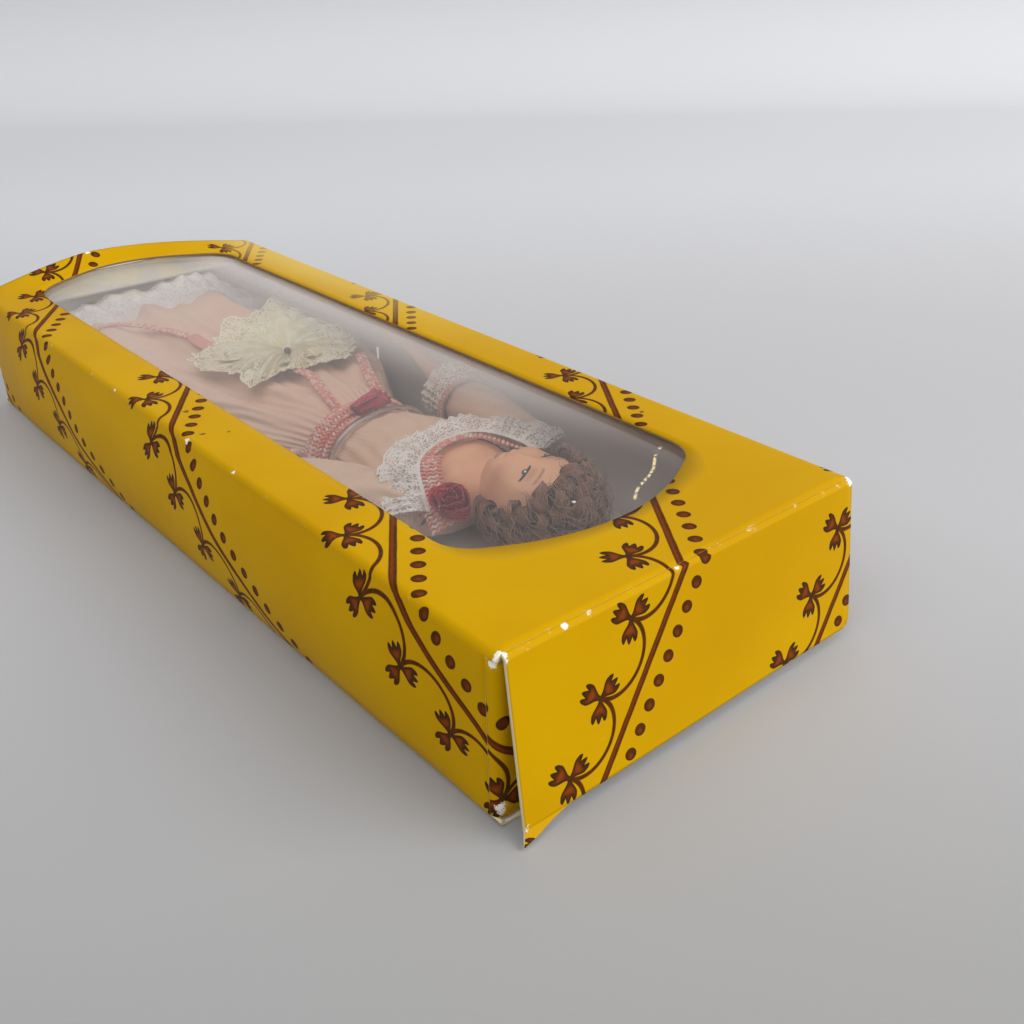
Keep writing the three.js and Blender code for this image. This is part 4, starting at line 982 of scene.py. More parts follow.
def woven(name, light, dark, thread, relief=0.05, roughness=0.85, turned=0.0):
    """Plain-woven cloth on its own sheet coordinates; painted shade darkens it over the 9 mm up to turned, the
    hem.
    """
    m = Shade(name)
    u, v, _ = m.split(m.sheet())
    at = m.object_mm()
    drift = m.noise(m.sheet(), 0.5, 2.0) * 0.5
    warp = m.sine((u + drift * 0.15) * (2 * math.pi / thread)) * 0.5 + 0.5
    weft = m.sine((v + drift * 0.15) * (2 * math.pi / thread)) * 0.5 + 0.5
    weave = m.most(warp, weft)
    slubs = m.soft(m.noise(m.vector(u * 0.25, v * 2.2), 1.2, 3.0), 0.5, 0.8) * 0.5
    patch = m.soft(m.noise(at, 0.11, 4.0, 0.6), 0.3, 0.72)
    colour = m.mix(patch * 0.7, light, dark)
    colour = m.mix((1.0 - weave) * 0.45, colour, tuple(c * 0.6 for c in dark))
    colour = m.mix(slubs * 0.35, colour, tuple(min(1.0, c * 1.25) for c in light))
    # painted shade along the hem
    if turned:
        colour = m.mix(m.soft(v, turned - 9.0, turned) * 0.5, colour, tuple(c * 0.62 for c in dark))
    fuzz = m.noise(at, 3.0, 3.0, 0.7)
    normal = m.bump(weave * 0.7 + fuzz * 0.4 + slubs * 0.3, relief, 0.8)
    m.coat(base_color=colour, roughness=fuzz * 0.1 + roughness - 0.05, normal=normal,
           sheen_weight=0.25, sheen_roughness=0.5, specular_ior_level=0.2)


def lace(name, colour, shade, mesh=0.85, motif=2.6, reach=8.0, ground=0.30, full=0.0):
    """Net with worked motifs and a corded, scalloped edge; v runs from the seam to the edge at reach."""
    m = Shade(name)
    u, v, _ = m.split(m.sheet())
    at = m.object_mm()
    repeat = motif * 1.25
    warped = m.noise(m.sheet(), 0.9, 3.0) - 0.5
    spot = m.vector(u + warped * 0.8, v + warped * 0.6)
    net = m.soft(m.cell_edges(spot, 1 / mesh, 0.9), 0.17, 0.10)
    scallop = m.abs(m.sine(u * (math.pi / repeat)))
    rim = reach - 0.1 - (1.0 - scallop) * 0.4 - m.noise(m.sheet(), 1.3, 3.0) * 0.5
    inside = m.soft(v - rim, 0.06, -0.06)
    cord = m.soft(m.abs(v - rim + 0.3), 0.34, 0.18)
    leaf = m.oval((u % repeat - motif * 0.62, motif * 0.5), (v - reach + motif * 0.8, motif * 0.42))
    worked = m.most(m.soft(leaf + warped * 0.9, 1.0, 0.86),
                    m.soft(m.noise(m.sheet(), 0.42, 3.0, 0.55), 0.53, 0.58))
    worked = worked * (m.soft(m.cell_edges(spot, 2.6), 0.05, 0.11) * 0.4 + 0.6)
    threads = m.most(net, worked, cord, m.soft(v, 1.1, 0.5))
    fine = m.noise(at, 5.0, 3.0, 0.7)
    tone = m.mix(m.soft(m.noise(at, 0.3, 4.0), 0.35, 0.7), colour, shade)
    tone = m.mix((1.0 - worked) * 0.35 * fine, tone, tuple(c * 0.7 for c in shade))
    # gathered cloth is closed near its seam and opens towards the edge
    closed = m.soft(v, reach * 0.86, reach * 0.62) * (full * (0.96 - ground)) + ground
    alpha = m.most(threads, closed) * inside
    m.coat(base_color=tone, roughness=fine * 0.15 + 0.75, alpha=alpha, sheen_weight=0.2,
           normal=m.bump(threads * 0.8 + fine * 0.5, 0.12, 0.8), specular_ior_level=0.2)


def satin_links():
    m = Shade("satin braid")
    at = m.object_mm()
    tint = m.node("ShaderNodeAttribute", out=2, attribute_name="tint")
    pink = m.mix(m.noise(at, 0.7, 2.0), rgb(252, 174, 154), rgb(238, 148, 128))
    # painted glints: links picked at random turn near white
    colour = m.mix(m.soft(tint, 0.5, 0.75), pink, rgb(250, 224, 214))
    strand = m.noise(at, 6.0, 3.0, 0.6)
    colour = m.mix(strand * 0.22, colour, rgb(226, 130, 112))
    m.coat(base_color=colour, roughness=strand * 0.2 + 0.28, normal=m.bump(strand, 0.06, 0.7),
           sheen_weight=0.3, coat_weight=0.1)


def rose_ribbon():
    m = Shade("rose ribbon")
    u, v, _ = m.split(m.sheet())
    at = m.object_mm()
    rib = m.sine((u * 0.5 + v * 0.9) * 12.0) * 0.5 + 0.5
    cross = m.sine((v * 0.5 - u * 0.8) * 10.0) * 0.5 + 0.5
    weave = rib * 0.65 + cross * 0.35
    tone = m.mix(m.soft(m.noise(at, 0.5, 3.0), 0.3, 0.7), rgb(212, 30, 66), rgb(158, 16, 46))
    # painted sheen: the ribs of the weave are lighter
    colour = m.mix(m.soft(weave, 0.5, 0.95) * 0.5, tone, rgb(220, 64, 96))
    m.coat(base_color=colour, roughness=weave * 0.2 + 0.4, normal=m.bump(weave, 0.2, 0.9),
           sheen_weight=0.3, specular_ior_level=0.3)


def hair_finish(name, near, far, light):
    m = Shade(name)
    u, v, _ = m.split(m.sheet())
    streak = m.noise(m.vector(u * 0.12, v * 3.4), 1.0, 4.0, 0.6)
    x, y, z = m.split(m.object_mm((0, 0, math.radians(-HEAD_TILT)), tuple(HEAD)))
    out = m.oval((x, 10.6), (y, 11.4), (z, 9.4))
    # painted highlights on the outer crests of the curls
    crest_highlight = m.soft(out, 0.90, 1.14)
    lock = m.noise(m.vector(0.0, m.math("FLOOR", v / 20.0) * 3.7, 0.0), 1.0, 1.0)
    colour = m.mix(m.soft(streak, 0.36, 0.64) * 0.5 + m.soft(lock, 0.35, 0.65) * 0.5, near, far)
    colour = m.mix(crest_highlight * m.soft(streak, 0.3, 0.6) * 0.85, colour, light)
    # painted shade on the hair close to the head, inside the curls
    colour = m.mix(m.soft(out, 0.98, 0.86) * 0.7, colour, tuple(c * 0.35 for c in near))
    m.coat(base_color=colour, roughness=streak * 0.3 + 0.42, normal=m.bump(streak, 0.12, 0.9),
           sheen_weight=0.35, specular_ior_level=0.4)


def drawn_steel():
    m = Shade("bright wire")
    at = m.object_mm()
    draw = m.noise(at, 2.5, 3.0, 0.6)
    colour = m.mix(draw, rgb(242, 243, 246), rgb(222, 224, 230))
    m.coat(base_color=colour, metallic=0.9, roughness=draw * 0.1 + 0.26,
           normal=m.bump(draw, 0.005, 0.2))


def turned_bead():
    m = Shade("brown bead")
    at = m.object_mm()
    swirl = m.noise(at, 1.5, 3.0, 0.6, 1.2)
    colour = m.mix(m.soft(swirl, 0.4, 0.7), rgb(116, 84, 62), rgb(70, 48, 38))
    m.coat(base_color=colour, roughness=swirl * 0.15 + 0.25, normal=m.bump(swirl, 0.03, 0.5))


class DOLL_OT_doll_finishes(bpy.types.Operator):
    """Make the bisque, cloth, lace, ribbon and hair finishes"""

    bl_idname = "doll.doll_finishes"
    bl_label = "Doll Finishes"

    def execute(self, context):
        s = context.scene.doll
        painted_bisque()
        woven("fine muslin", rgb(246, 212, 184), rgb(234, 194, 164), 0.36, 0.06)
        woven("skirt cotton", s.dress, rgb(242, 200, 172), 0.30, 0.04, turned=72.0)
        woven("stuffed calico", rgb(226, 216, 198), rgb(204, 190, 168), 0.42, 0.07)
        woven("satin band", rgb(240, 160, 142), rgb(222, 132, 116), 0.34, 0.05, 0.5)
        lace("white lace", rgb(255, 250, 242), rgb(242, 232, 222), ground=0.5)
        lace("cuff lace", rgb(255, 250, 242), rgb(242, 232, 222), reach=7.6, motif=2.4, ground=0.5)
        lace("hem lace", rgb(254, 250, 246), rgb(240, 234, 230), reach=8.0, motif=3.0, ground=0.86)
        lace("cream lace", rgb(255, 250, 222), rgb(250, 238, 198), reach=13.0, motif=3.4, mesh=0.8,
             ground=0.5, full=1.0)
        satin_links()
        rose_ribbon()
        hair_finish("curls", rgb(112, 62, 40), rgb(180, 114, 80), rgb(240, 186, 148))
        hair_finish("wisps", rgb(150, 106, 82), rgb(206, 162, 132), rgb(228, 192, 166))
        drawn_steel()
        turned_bead()
        return {"FINISHED"}


# Doll pieces


def face_relief(x, y):
    """How far the painted face stands out from the plain ball of the head."""
    ax = abs(x)

    def hump(cx, cy, sx, sy, height):
        return height * np.exp(-(((ax - cx) / sx) ** 2 + ((y - cy) / sy) ** 2))

    r = hump(0, 4.1, 1.0, 1.0, 1.0) + hump(0, 1.9, 0.8, 2.2, 0.5) + hump(0.8, 4.6, 0.5, 0.5, 0.2)
    r += hump(3.4, -0.3, 2.1, 1.3, -0.6) + hump(3.4, -0.05, 1.3, 0.75, 0.45) + hump(3.2, -2.6, 2.4, 1.0, 0.2)
    r += hump(4.3, 3.9, 2.3, 2.6, 1.05) + hump(0, 6.8, 2.6, 2.0, 0.6)
    r += hump(0, 6.68, 1.3, 0.34, 0.3) + hump(0, 7.3, 1.1, 0.4, 0.34) - hump(0, 6.98, 1.25, 0.14, 0.2)
    r += hump(0, 8.0, 1.5, 0.4, -0.2) + hump(0, 9.0, 1.7, 1.0, 0.75)
    return r


def directions(rows, columns):
    """Rings of unit vectors from the head's crown to its chin."""
    for i in range(1, rows):
        polar = math.pi * i / rows
        turns = [2 * math.pi * j / columns for j in range(columns)]
        across, along = math.sin(polar), -math.cos(polar)
        yield [(across * math.sin(a), along, across * math.cos(a)) for a in turns]


class DOLL_OT_head(bpy.types.Operator):
    """Model the bisque head with its face, neck and shoulder plate"""

    bl_idname = "doll.head"
    bl_label = "Head"

    def head_point(self, dx, dy, dz):
        jaw = 1 - 0.24 * smooth_step((dy - 0.15) / 0.85)
        x, y = dx * 7.9 * jaw, dy * 10.4
        if dz > 0:
            z = 6.8 * dz ** (1 - 0.22 * smooth_step((dz - 0.35) / 0.3))
        else:
            z = dz * (8.7 - 1.6 * smooth_step(dy * 1.4))
        return x, y, z + face_relief(x, y) * smooth_step((dz - 0.05) / 0.35)

    def execute(self, context):
        rings = [on_head([self.head_point(*d) for d in ring]) for ring in directions(110, 140)]
        place(solid("head", rings, "painted face"), "carton", "bisque", "doll_head")
        rings = []
        for y in np.linspace(-39.5, -24.4, 34):
            x, half, front, back = between(BUST, y)
            ring = body_ring(y, x, half, front, back, 72)
            bone = (np.exp(-((ring[:, 1] + 31.2 - 0.02 * ring[:, 0] ** 2) / 0.8) ** 2)
                    * np.exp(-((abs(ring[:, 0]) - 4.2) / 2.6) ** 2))
            ring[:, 2] += np.where(ring[:, 2] > 13, 0.3 * bone, 0)
            rings.append(on_spine(ring))
        bust = solid("neck_and_shoulders", rings, "plain bisque")
        place(bust, "carton", "bisque")
        return {"FINISHED"}


class DOLL_OT_wig(bpy.types.Operator):
    """Curl the wig: a cap, combed ringlets over it, and loose hairs"""

    bl_idname = "doll.wig"
    bl_label = "Wig"

    SIZE = (10.6, 11.9, 9.0, 9.8)  # across, crown, front, back
    FACE = np.array((-0.22, 0.34, 1.0)) / np.linalg.norm((-0.22, 0.34, 1.0))  # from the head's middle

    def surface(self, d, scale):
        across, crown, front, back = self.SIZE
        return np.array((d[0] * across, d[1] * crown * (0.84 if d[1] > 0 else 1.0),
                         d[2] * (front if d[2] > 0 else back))) * scale

    def from_face(self, d):
        """Degrees between a direction and the middle of the face."""
        return math.degrees(math.acos(float(np.clip(d @ self.FACE, -1, 1))))

    def hairline(self, d):
        """How much further round the hair starts beside the cheeks, in degrees."""
        return 11.0 * float(smooth_step((d[1] + 0.45) / 0.5))

    def cap_point(self, d):
        p = self.surface(d, 0.45 + 0.39 * smooth_step((self.from_face(d) - 52 - self.hairline(d)) / 10))
        p[2] = max(p[2], -10.2)
        return p

    def lock(self, rng, d, near_face):
        """A combed lock: its curl, turns, length, strands, their thickness, steps and sides, and its root."""
        curl = 1.3 + 0.25 * near_face + 0.4 * rng.random()
        turns, run = 0.95 + 0.4 * rng.random(), 3.6 - 2.0 * near_face
        return curl, turns, run, 6, 0.14, 20, 4, self.surface(d, 0.89)

    def wisp(self, rng, d, near_face):
        """A loose hair, in the same terms as a lock."""
        curl = 1.0 + 1.2 * rng.random()
        turns, run = 0.5 + 0.8 * rng.random(), 3 + 3 * rng.random()
        return curl, turns, run, 1, 0.05, 12, 3, self.surface(d, 0.93 + 0.05 * rng.random())

    def grow(self, rng, name, count, kind, finish):
        """Spreads locks or wisps evenly over the head, clear of the face, the neck and the floor."""
        points, faces, flat = [], [], []
        made, i = 0, 0
        while made < count:
            i += 1
            share = (i * 0.754878 + 0.05 * rng.random()) % 1.0
            d1 = 1 - 2 * share
            a = i * 0.569840 * 2 * math.pi + rng.normal(0, 0.12)
            r = math.sqrt(max(0, 1 - d1 * d1))
            d = np.array((r * math.cos(a), d1, r * math.sin(a)))
            away = self.from_face(d) - self.hairline(d)
            if away < 55 or self.surface(d, 1.0)[2] < -8.4 or (d[1] > 0.80 and d[2] > -0.1):
                continue
            made += 1
            near_face = float(smooth_step((78 - away) / 22))
            flow = np.array((-0.15 * np.sign(d[0]), 1.0, -0.15)) + rng.normal(0, 0.3, 3)
            flow -= d * (flow @ d)
            flow /= np.linalg.norm(flow)
            cross = np.cross(d, flow)
            start = rng.random() * 6.28
            curl, turns, run, strands, thick, steps, sides, root = kind(rng, d, near_face)
            t = np.linspace(0, 1, steps)[:, None]
            phase = start + t * turns * 2 * math.pi
            fade = 1 - 0.35 * t
            bend = 0.35 * (run * (t - 0.5)) ** 2 / 10
            wide = thick * np.sin(np.clip(t[:, 0] * 0.9 + 0.08, 0, 1) * math.pi) ** 0.5
            for k in range(strands):
                shift = (k - (strands - 1) / 2) * 0.29
                line = root + flow * (run * (t - 0.5) + shift) + fade * curl * (
                    np.cos(phase) * cross + 0.8 * np.sin(phase) * d) - d * (bend + 0.1 * curl)
                line[:, 2] = np.maximum(line[:, 2], -9.9)
                p, f = tube(on_head(line), wide, sides)
                base = len(points)
                points.extend(p)
                faces.extend(tuple(v + base for v in face) for face in f)
                seed = made * 20.0 + k * 1.7
                sheet = [(step * 0.8, seed + side * 0.22) for step in range(steps) for side in range(sides)]
                flat.extend(sheet + [sheet[0], sheet[-1]])
        place(make_piece(name, points, faces, finish, flat), "carton", "hair")

    def execute(self, context):
        rng = np.random.default_rng(11)
        rings = [on_head([self.cap_point(np.array(d)) for d in ring]) for ring in directions(80, 144)]
        place(solid("wig_cap", rings, "curls", grid_uv(79, 144, 0.45, 0.3)), "carton", "hair", "wig")
        self.grow(rng, "wig_curls", context.scene.doll.locks, self.lock, "curls")
        self.grow(rng, "wig_wisps", 700, self.wisp, "wisps")
        return {"FINISHED"}


def braid_group():
    """Geometry nodes: satin links set along lines, leaning one way and the other."""
    tree = bpy.data.node_groups.new("braid links", "GeometryNodeTree")
    face = tree.interface
    face.new_socket("Lines", in_out="INPUT", socket_type="NodeSocketGeometry")
    for name, kind, value in (("Spacing", "NodeSocketFloat", 0.0009),
                              ("Link Size", "NodeSocketVector", (0.0008, 0.0004, 0.0003)),
                              ("Lean", "NodeSocketFloat", 0.6), ("Finish", "NodeSocketMaterial", None)):
        socket = face.new_socket(name, in_out="INPUT", socket_type=kind)
        if value is not None:
            socket.default_value = value
    face.new_socket("Links", in_out="OUTPUT", socket_type="NodeSocketGeometry")

    def add(kind, links=(), **settings):
        made = tree.nodes.new(kind)
        for key, value in settings.items():
            setattr(made, key, value)
        for socket, source in dict(links).items():
            if isinstance(source, bpy.types.NodeSocket):
                tree.links.new(source, made.inputs[socket])
            else:
                made.inputs[socket].default_value = source
        return made

    inp = add("NodeGroupInput").outputs
    line = add("GeometryNodeMeshToCurve", {"Mesh": inp["Lines"]})
    even = add("GeometryNodeResampleCurve", {"Curve": line.outputs[0], "Length": inp["Spacing"]},
               mode="LENGTH")
    # a random value for each link, which picks the links given painted glints
    tint = add("FunctionNodeRandomValue", {"Seed": 7}, data_type="FLOAT")
    kept = add("GeometryNodeStoreNamedAttribute",
               {"Geometry": even.outputs[0], "Name": "tint", "Value": tint.outputs[1]},
               data_type="FLOAT", domain="POINT")
    run = add("GeometryNodeInputTangent")
    up = add("GeometryNodeInputNamedAttribute", {"Name": "up"}, data_type="FLOAT_VECTOR")
    row = add("GeometryNodeInputNamedAttribute", {"Name": "row"}, data_type="FLOAT")
    first = add("FunctionNodeAlignRotationToVector", {"Vector": run.outputs[0]}, axis="X")
    second = add("FunctionNodeAlignRotationToVector", {"Rotation": first.outputs[0], "Vector": up.outputs[0]},
                 axis="Z", pivot_axis="X")
    angle = add("ShaderNodeMath", {0: row.outputs[0], 1: inp["Lean"]}, operation="MULTIPLY")
    lean = add("FunctionNodeAxisAngleToRotation", {"Axis": (0, 0, 1), "Angle": angle.outputs[0]})
    turned = add("FunctionNodeRotateRotation", {"Rotation": second.outputs[0], "Rotate By": lean.outputs[0]},
                 rotation_space="LOCAL")
    ball = add("GeometryNodeMeshUVSphere", {"Segments": 7, "Rings": 5, "Radius": 1.0})
    soft = add("GeometryNodeSetShadeSmooth", {"Geometry": ball.outputs[0]})
    links = add("GeometryNodeInstanceOnPoints", {"Points": kept.outputs[0], "Instance": soft.outputs[0],
                                                 "Rotation": turned.outputs[0], "Scale": inp["Link Size"]})
    real = add("GeometryNodeRealizeInstances", {"Geometry": links.outputs[0]})
    done = add("GeometryNodeSetMaterial", {"Geometry": real.outputs[0], "Material": inp["Finish"]})
    add("NodeGroupOutput", {"Links": done.outputs[0]})
    return tree


def braid(name, lines, body, spacing, size, lean=0.6, nodes=()):
    """Satin links along lines of (points, up vectors, row sign)."""
    tree = bpy.data.node_groups.get("braid links") or braid_group()
    points, edges, ups, signs = [], [], [], []
    for line, up, sign in lines:
        base = len(points)
        points.extend(tuple(q * MM) for q in np.array(line, float))
        edges.extend((base + i, base + i + 1) for i in range(len(line) - 1))
        ups.extend(tuple(q) for q in np.broadcast_to(np.array(up, float), (len(line), 3)))
        signs.extend([sign] * len(line))
    mesh = bpy.data.meshes.new(name)
    mesh.from_pydata(points, edges, [])
    mesh.attributes.new("up", "FLOAT_VECTOR", "POINT").data.foreach_set("vector", np.array(ups).ravel())
    mesh.attributes.new("row", "FLOAT", "POINT").data.foreach_set("value", signs)
    piece = bpy.data.objects.new(name, mesh)
    bpy.context.scene.collection.objects.link(piece)
    modifier = piece.modifiers.new("Braid", "NODES")
    modifier.node_group = tree
    named = {item.name: item.identifier for item in tree.interface.items_tree if item.in_out == "INPUT"}
    modifier[named["Spacing"]] = spacing * MM
    modifier[named["Link Size"]] = tuple(c * MM for c in size)
    modifier[named["Lean"]] = lean
    modifier[named["Finish"]] = bpy.data.materials["satin braid"]
    bake_modifiers(piece)
    place(piece, body, "braid", *nodes)


def flat_braid(path, up, rows, gap):
    """Parallel lines side by side on a ribbon's path."""
    path, up = np.array(path, float), np.array(up, float)
    along = np.gradient(path, axis=0)
    side = unit_rows(np.cross(along, up), 1e-9)
    middle = (rows - 1) / 2
    return [(path + side * gap * (k - middle), up, 1 if k % 2 else -1) for k in range(rows)]


class DOLL_OT_body(bpy.types.Operator):
    """Stuff the cloth body and set the bisque arms and legs on it"""

    bl_idname = "doll.body"
    bl_label = "Body"

    FOREARM = [(0, 2.2, 2.2), (0.35, 2.1, 2.1), (0.66, 1.5, 1.35), (0.72, 1.5, 1.2), (0.80, 2.15, 1.1),
               (0.88, 2.1, 0.95), (0.95, 1.6, 0.7), (1, 0.8, 0.4)]
    THIGH = [(0, 1.6), (0.06, 3), (0.14, 4.05), (0.6, 3.9), (1, 3.25)]
    CALF = [(0, 3.25), (0.12, 3.0), (0.35, 3.2), (0.8, 2.1), (1, 1.9)]
    BOOT = [(0, 1.2), (0.2, 1.9), (0.7, 2.1, 1.7), (1, 0.9, 0.8)]
    SOLE = [(0, 62.6, -2.6), (0, 63, 0.2), (0, 63.4, 2.8), (0, 63.2, 4.2)]

    def stuffed(self, name, rings, uv, body, node):
        piece = place(solid(name, rings, "stuffed calico", uv), body, "calico", node)

    def bisque(self, name, rings, body, *nodes):
        place(solid(name, rings, "plain bisque"), body, "bisque", *nodes)

    def trunk(self):
        rings, uv = [], []
        angle = np.linspace(0, 2 * np.pi, 64, endpoint=False)
        seam = 0.25 * np.exp(-((np.cos(angle) ** 2 - 1) / 0.01) ** 2)
        for y in np.linspace(9, -23.6, 44):
            half, front, back = between(TORSO, y)
            fold = -seam - 0.1 * math.sin(y * 1.3) ** 2
            rings.append(on_spine(body_ring(y, 0, half, front, back, 64, fold=fold)))
            uv.append([(j * 0.8, y) for j in range(64)])
        self.stuffed("stuffed_torso", rings, uv, "carton", "torso")

    def creased(self, t, a):
        return 1 - 0.035 * np.cos(3 * a + 9 * t) ** 2 - 0.04 * (np.abs(np.cos(a)) > 0.99)

    def arm(self, side):
        def end(t):
            return (2.35 * min(1.0, 0.6 + 7 * t, 0.75 + 5 * (1 - t)),) * 2

        def fingers(t, a):
            grooves = np.cos(np.clip(np.cos(a), -0.9, 0.9) * 8.4) ** 8
            return 1 - 0.16 * grooves * float(smooth_step((t - 0.86) / 0.06))

        self.stuffed(f"{side}_stuffed_arm", limb(arm_path(side, 0, 19.7, 26), end, 24, self.creased),
                     grid_uv(26, 24, 0.6, 0.8), f"{side}_arm", f"{side}_upper_arm")
        length = float(np.linalg.norm(np.diff(curve_points(ARMS[side], 400), axis=0), axis=1).sum())
        hand = limb(arm_path(side, 20, length - 0.05, 60), table_radii(self.FOREARM), 40, fingers)
        self.bisque(f"{side}_bisque_forearm", hand, f"{side}_arm", f"{side}_forearm")

    def leg(self, side):
        hip = np.array((WAIST[0] + SIDES[side] * HIP[0], HIP[1], HIP[2]))

        def straight(start, end):
            return [hip + np.array((0, y, 0)) for y in np.linspace(start, end, 30)]

        thigh = limb(straight(-4.1, 29.7), table_radii(self.THIGH), 32, self.creased)
        self.stuffed(f"{side}_stuffed_thigh", thigh, grid_uv(30, 32, 0.8, 1.1), f"{side}_leg",
                     f"{side}_upper_leg")
        shin = limb(straight(30, 62), table_radii(self.CALF), 32)
        self.bisque(f"{side}_bisque_shin", shin, f"{side}_leg", f"{side}_lower_leg")
        sole = [hip + np.array(q) for q in curve_points(self.SOLE, 24)]
        self.bisque(f"{side}_bisque_foot", limb(sole, table_radii(self.BOOT), 28), f"{side}_leg")

    def execute(self, context):
        self.trunk()
        for side in SIDES:
            self.arm(side)
            self.leg(side)
        return {"FINISHED"}


class DOLL_OT_bodice(bpy.types.Operator):
    """Sew the bodice and the gathered sleeves with their lace cuffs"""

    bl_idname = "doll.bodice"
    bl_label = "Bodice and Sleeves"

    PUFF = [(0, 0.3), (0.02, 2.6), (0.07, 4.3), (0.18, 5.4), (0.45, 5.8), (0.75, 5.4), (0.93, 4.6), (1, 4.9)]

    def in_sleeves(self, points):
        """Which points lie inside either sleeve at any place of its swing."""
        inside = np.zeros(len(points), bool)
        radii = np.interp(np.linspace(0, 1, 12), *np.array(self.PUFF).T)
        for side, out in SIDES.items():
            joint = shoulder_joint(out)
            path = arm_path(side, -5.2, 24, 12)
            for swing in (0, 3, 6):
                line = spin(path - joint, out * swing) + joint
                gap = np.linalg.norm(points[:, None] - line[None], axis=2)
                inside |= (gap < radii + 0.25).any(axis=1)
        return inside

    def execute(self, context):
        columns, grid, uv = 220, [], []
        angle = np.linspace(0, 2 * np.pi, columns, endpoint=False)
        for y in np.linspace(-0.9, -31.8, 98):
            half, front, back = between(BODICE, y)
            near = math.exp((y + 1) / 5.0)
            fold = -0.34 * near * np.cos(34 * angle + 1.5 * np.sin(5 * angle)) ** 2
            fold = fold - 0.22 * np.cos(9 * angle + y * 0.22) ** 2 * smooth_step((y + 30) / 12)
            ring = body_ring(y, 0, half, front, back, columns, fold=fold)
            grid.append(on_spine(ring))
            uv.append(np.stack([angle * 11.5, np.full(columns, y)], axis=-1))
        bodice = cloth("bodice_cloth", grid, "fine muslin", uv, closed=True)
        work = bmesh.new()
        work.from_mesh(bodice.data)
        centres = np.array([face.calc_center_median() for face in work.faces]) / MM
        local = spin(centres - WAIST, -LEAN)
        wide = 5.6 + np.maximum(0.0, -25.6 - local[:, 1]) * 0.62
        open_neck = (local[:, 1] < -25.4) & (np.abs(local[:, 0]) < wide) & (centres[:, 2] > 11)
        away = open_neck | self.in_sleeves(centres)
        gone = [face for face, out_of_it in zip(work.faces, away) if out_of_it]
        bmesh.ops.delete(work, geom=gone, context="FACES")
        work.to_mesh(bodice.data)
        work.free()
        face_out(bodice)
        place(bodice, "carton", "muslin", "bodice")
        radii = table_radii(self.PUFF)
        for side, out in SIDES.items():
            def gathers(t, a):
                ends = np.exp(-((t - 0.02) / 0.14) ** 2) + np.exp(-((t - 0.97) / 0.10) ** 2)
                return 1 - ends * 0.09 * np.cos(13 * a + 2 * np.sin(3 * a)) ** 2 - 0.05 * np.cos(
                    4 * a + 7 * t + out) ** 2

            rings = limb(arm_path(side, -5.0, 23.9, 70), radii, 150, gathers)
            sleeve = cloth(f"{side}_puff_sleeve", rings, "fine muslin", grid_uv(70, 150, 0.23, 0.42),
                           closed=True)
            face_out(sleeve)
            place(sleeve, f"{side}_arm", "muslin", f"{side}_sleeve")

            def frill(t, a):
                return 1 + t * 0.07 * np.sin(17 * a + 2 * np.sin(4 * a)) - 0.03

            flare = table_radii([(0, 5.3), (0.1, 5.6), (0.45, 5.4), (1, 6.2)])
            rings = limb(arm_path(side, 20.6, 28.8, 20), flare, 180, frill)
            cuff = cloth(f"{side}_lace_cuff", rings, "cuff lace", grid_uv(20, 180, 0.26, 0.4), closed=True)
            place(cuff, f"{side}_arm", "lace", f"{side}_cuff")
            band = 5.75
            ring = limb(arm_path(side, 20.4, 20.8, 3), lambda t: (band, band), 60)[1]
            ring = np.vstack([ring, ring[:1]])
            up = (ring - ring.mean(axis=0)) / band
            lines = [(ring, up, 1), (ring + (0, 0.55, 0), up, -1)]
            braid(f"{side}_sleeve_trim", lines, f"{side}_arm", 0.72, (0.44, 0.24, 0.22))
        return {"FINISHED"}


class DOLL_OT_collar(bpy.types.Operator):
    """Gather the lace collar, and lay the braid along the neckline"""

    bl_idname = "doll.collar"
    bl_label = "Collar and Braid"

    def execute(self, context):
        edge = curve_points(NECKLINE, 320)
        along = unit_rows(np.gradient(edge, axis=0))
        out = unit_rows(np.stack([-along[:, 1], along[:, 0], np.zeros(len(edge))], axis=1))
        rows, grid, uv = 15, [], []
        t = np.linspace(0, 1, len(edge))
        wide = 4.8 + 3.0 * np.abs(np.cos(np.pi * t)) ** 1.3 + 2.4 * smooth_step((t - 0.6) / 0.25)
        lifted = 0.8 + 1.0 * np.abs(np.cos(np.pi * t)) ** 1.5
        phase = np.cumsum(0.30 + 0.1 * np.sin(t * 41))
        for k in range(rows):
            s = k / (rows - 1)
            ripple = (0.06 + 0.16 * s) * np.sin(phase * 1.6 + 0.8 * np.sin(phase * 0.31)) * min(1.0, 4 * s)
            crimp = 0.10 * s * np.sin(phase * 3.3 + 1.0)
            uneven = 1 + 0.03 * np.sin(phase * 0.37) + 0.03 * np.sin(phase * 0.9)
            line = edge + out * (wide * s)[:, None] * uneven[:, None]
            line = line + along * (0.10 * s * np.cos(phase * 1.6))[:, None]
            droop = 2.0 * s * s * smooth_step((wide - 6.0) / 2.0)
            line[:, 2] += lifted * s + 0.5 * s * (1 - s) + ripple + crimp - droop
            grid.append(on_spine(line))
            uv.append(np.stack([phase * 0.78, np.full(len(edge), 8.0 * s)], axis=-1))
        collar = cloth("lace_collar", grid, "white lace", uv)
        place(collar, "carton", "lace", "collar")
        line = on_spine(curve_points(BRAID_LINE, 160))
        up = np.tile((0.0, 0.0, 1.0), (len(line), 1))
        up[:, 0] = np.linspace(-0.8, 0.5, len(line))
        narrow = flat_braid(line[58:], up[58:], 3, 0.55)
        braid("neckline_links", narrow, "carton", 0.78, (0.5, 0.27, 0.25), 0.75, ["neckline_braid"])
        broad = flat_braid(line[:66], up[:66], 8, 0.6)
        braid("neckline_wide_links", broad, "carton", 0.8, (0.56, 0.29, 0.28), 0.8)
        return {"FINISHED"}


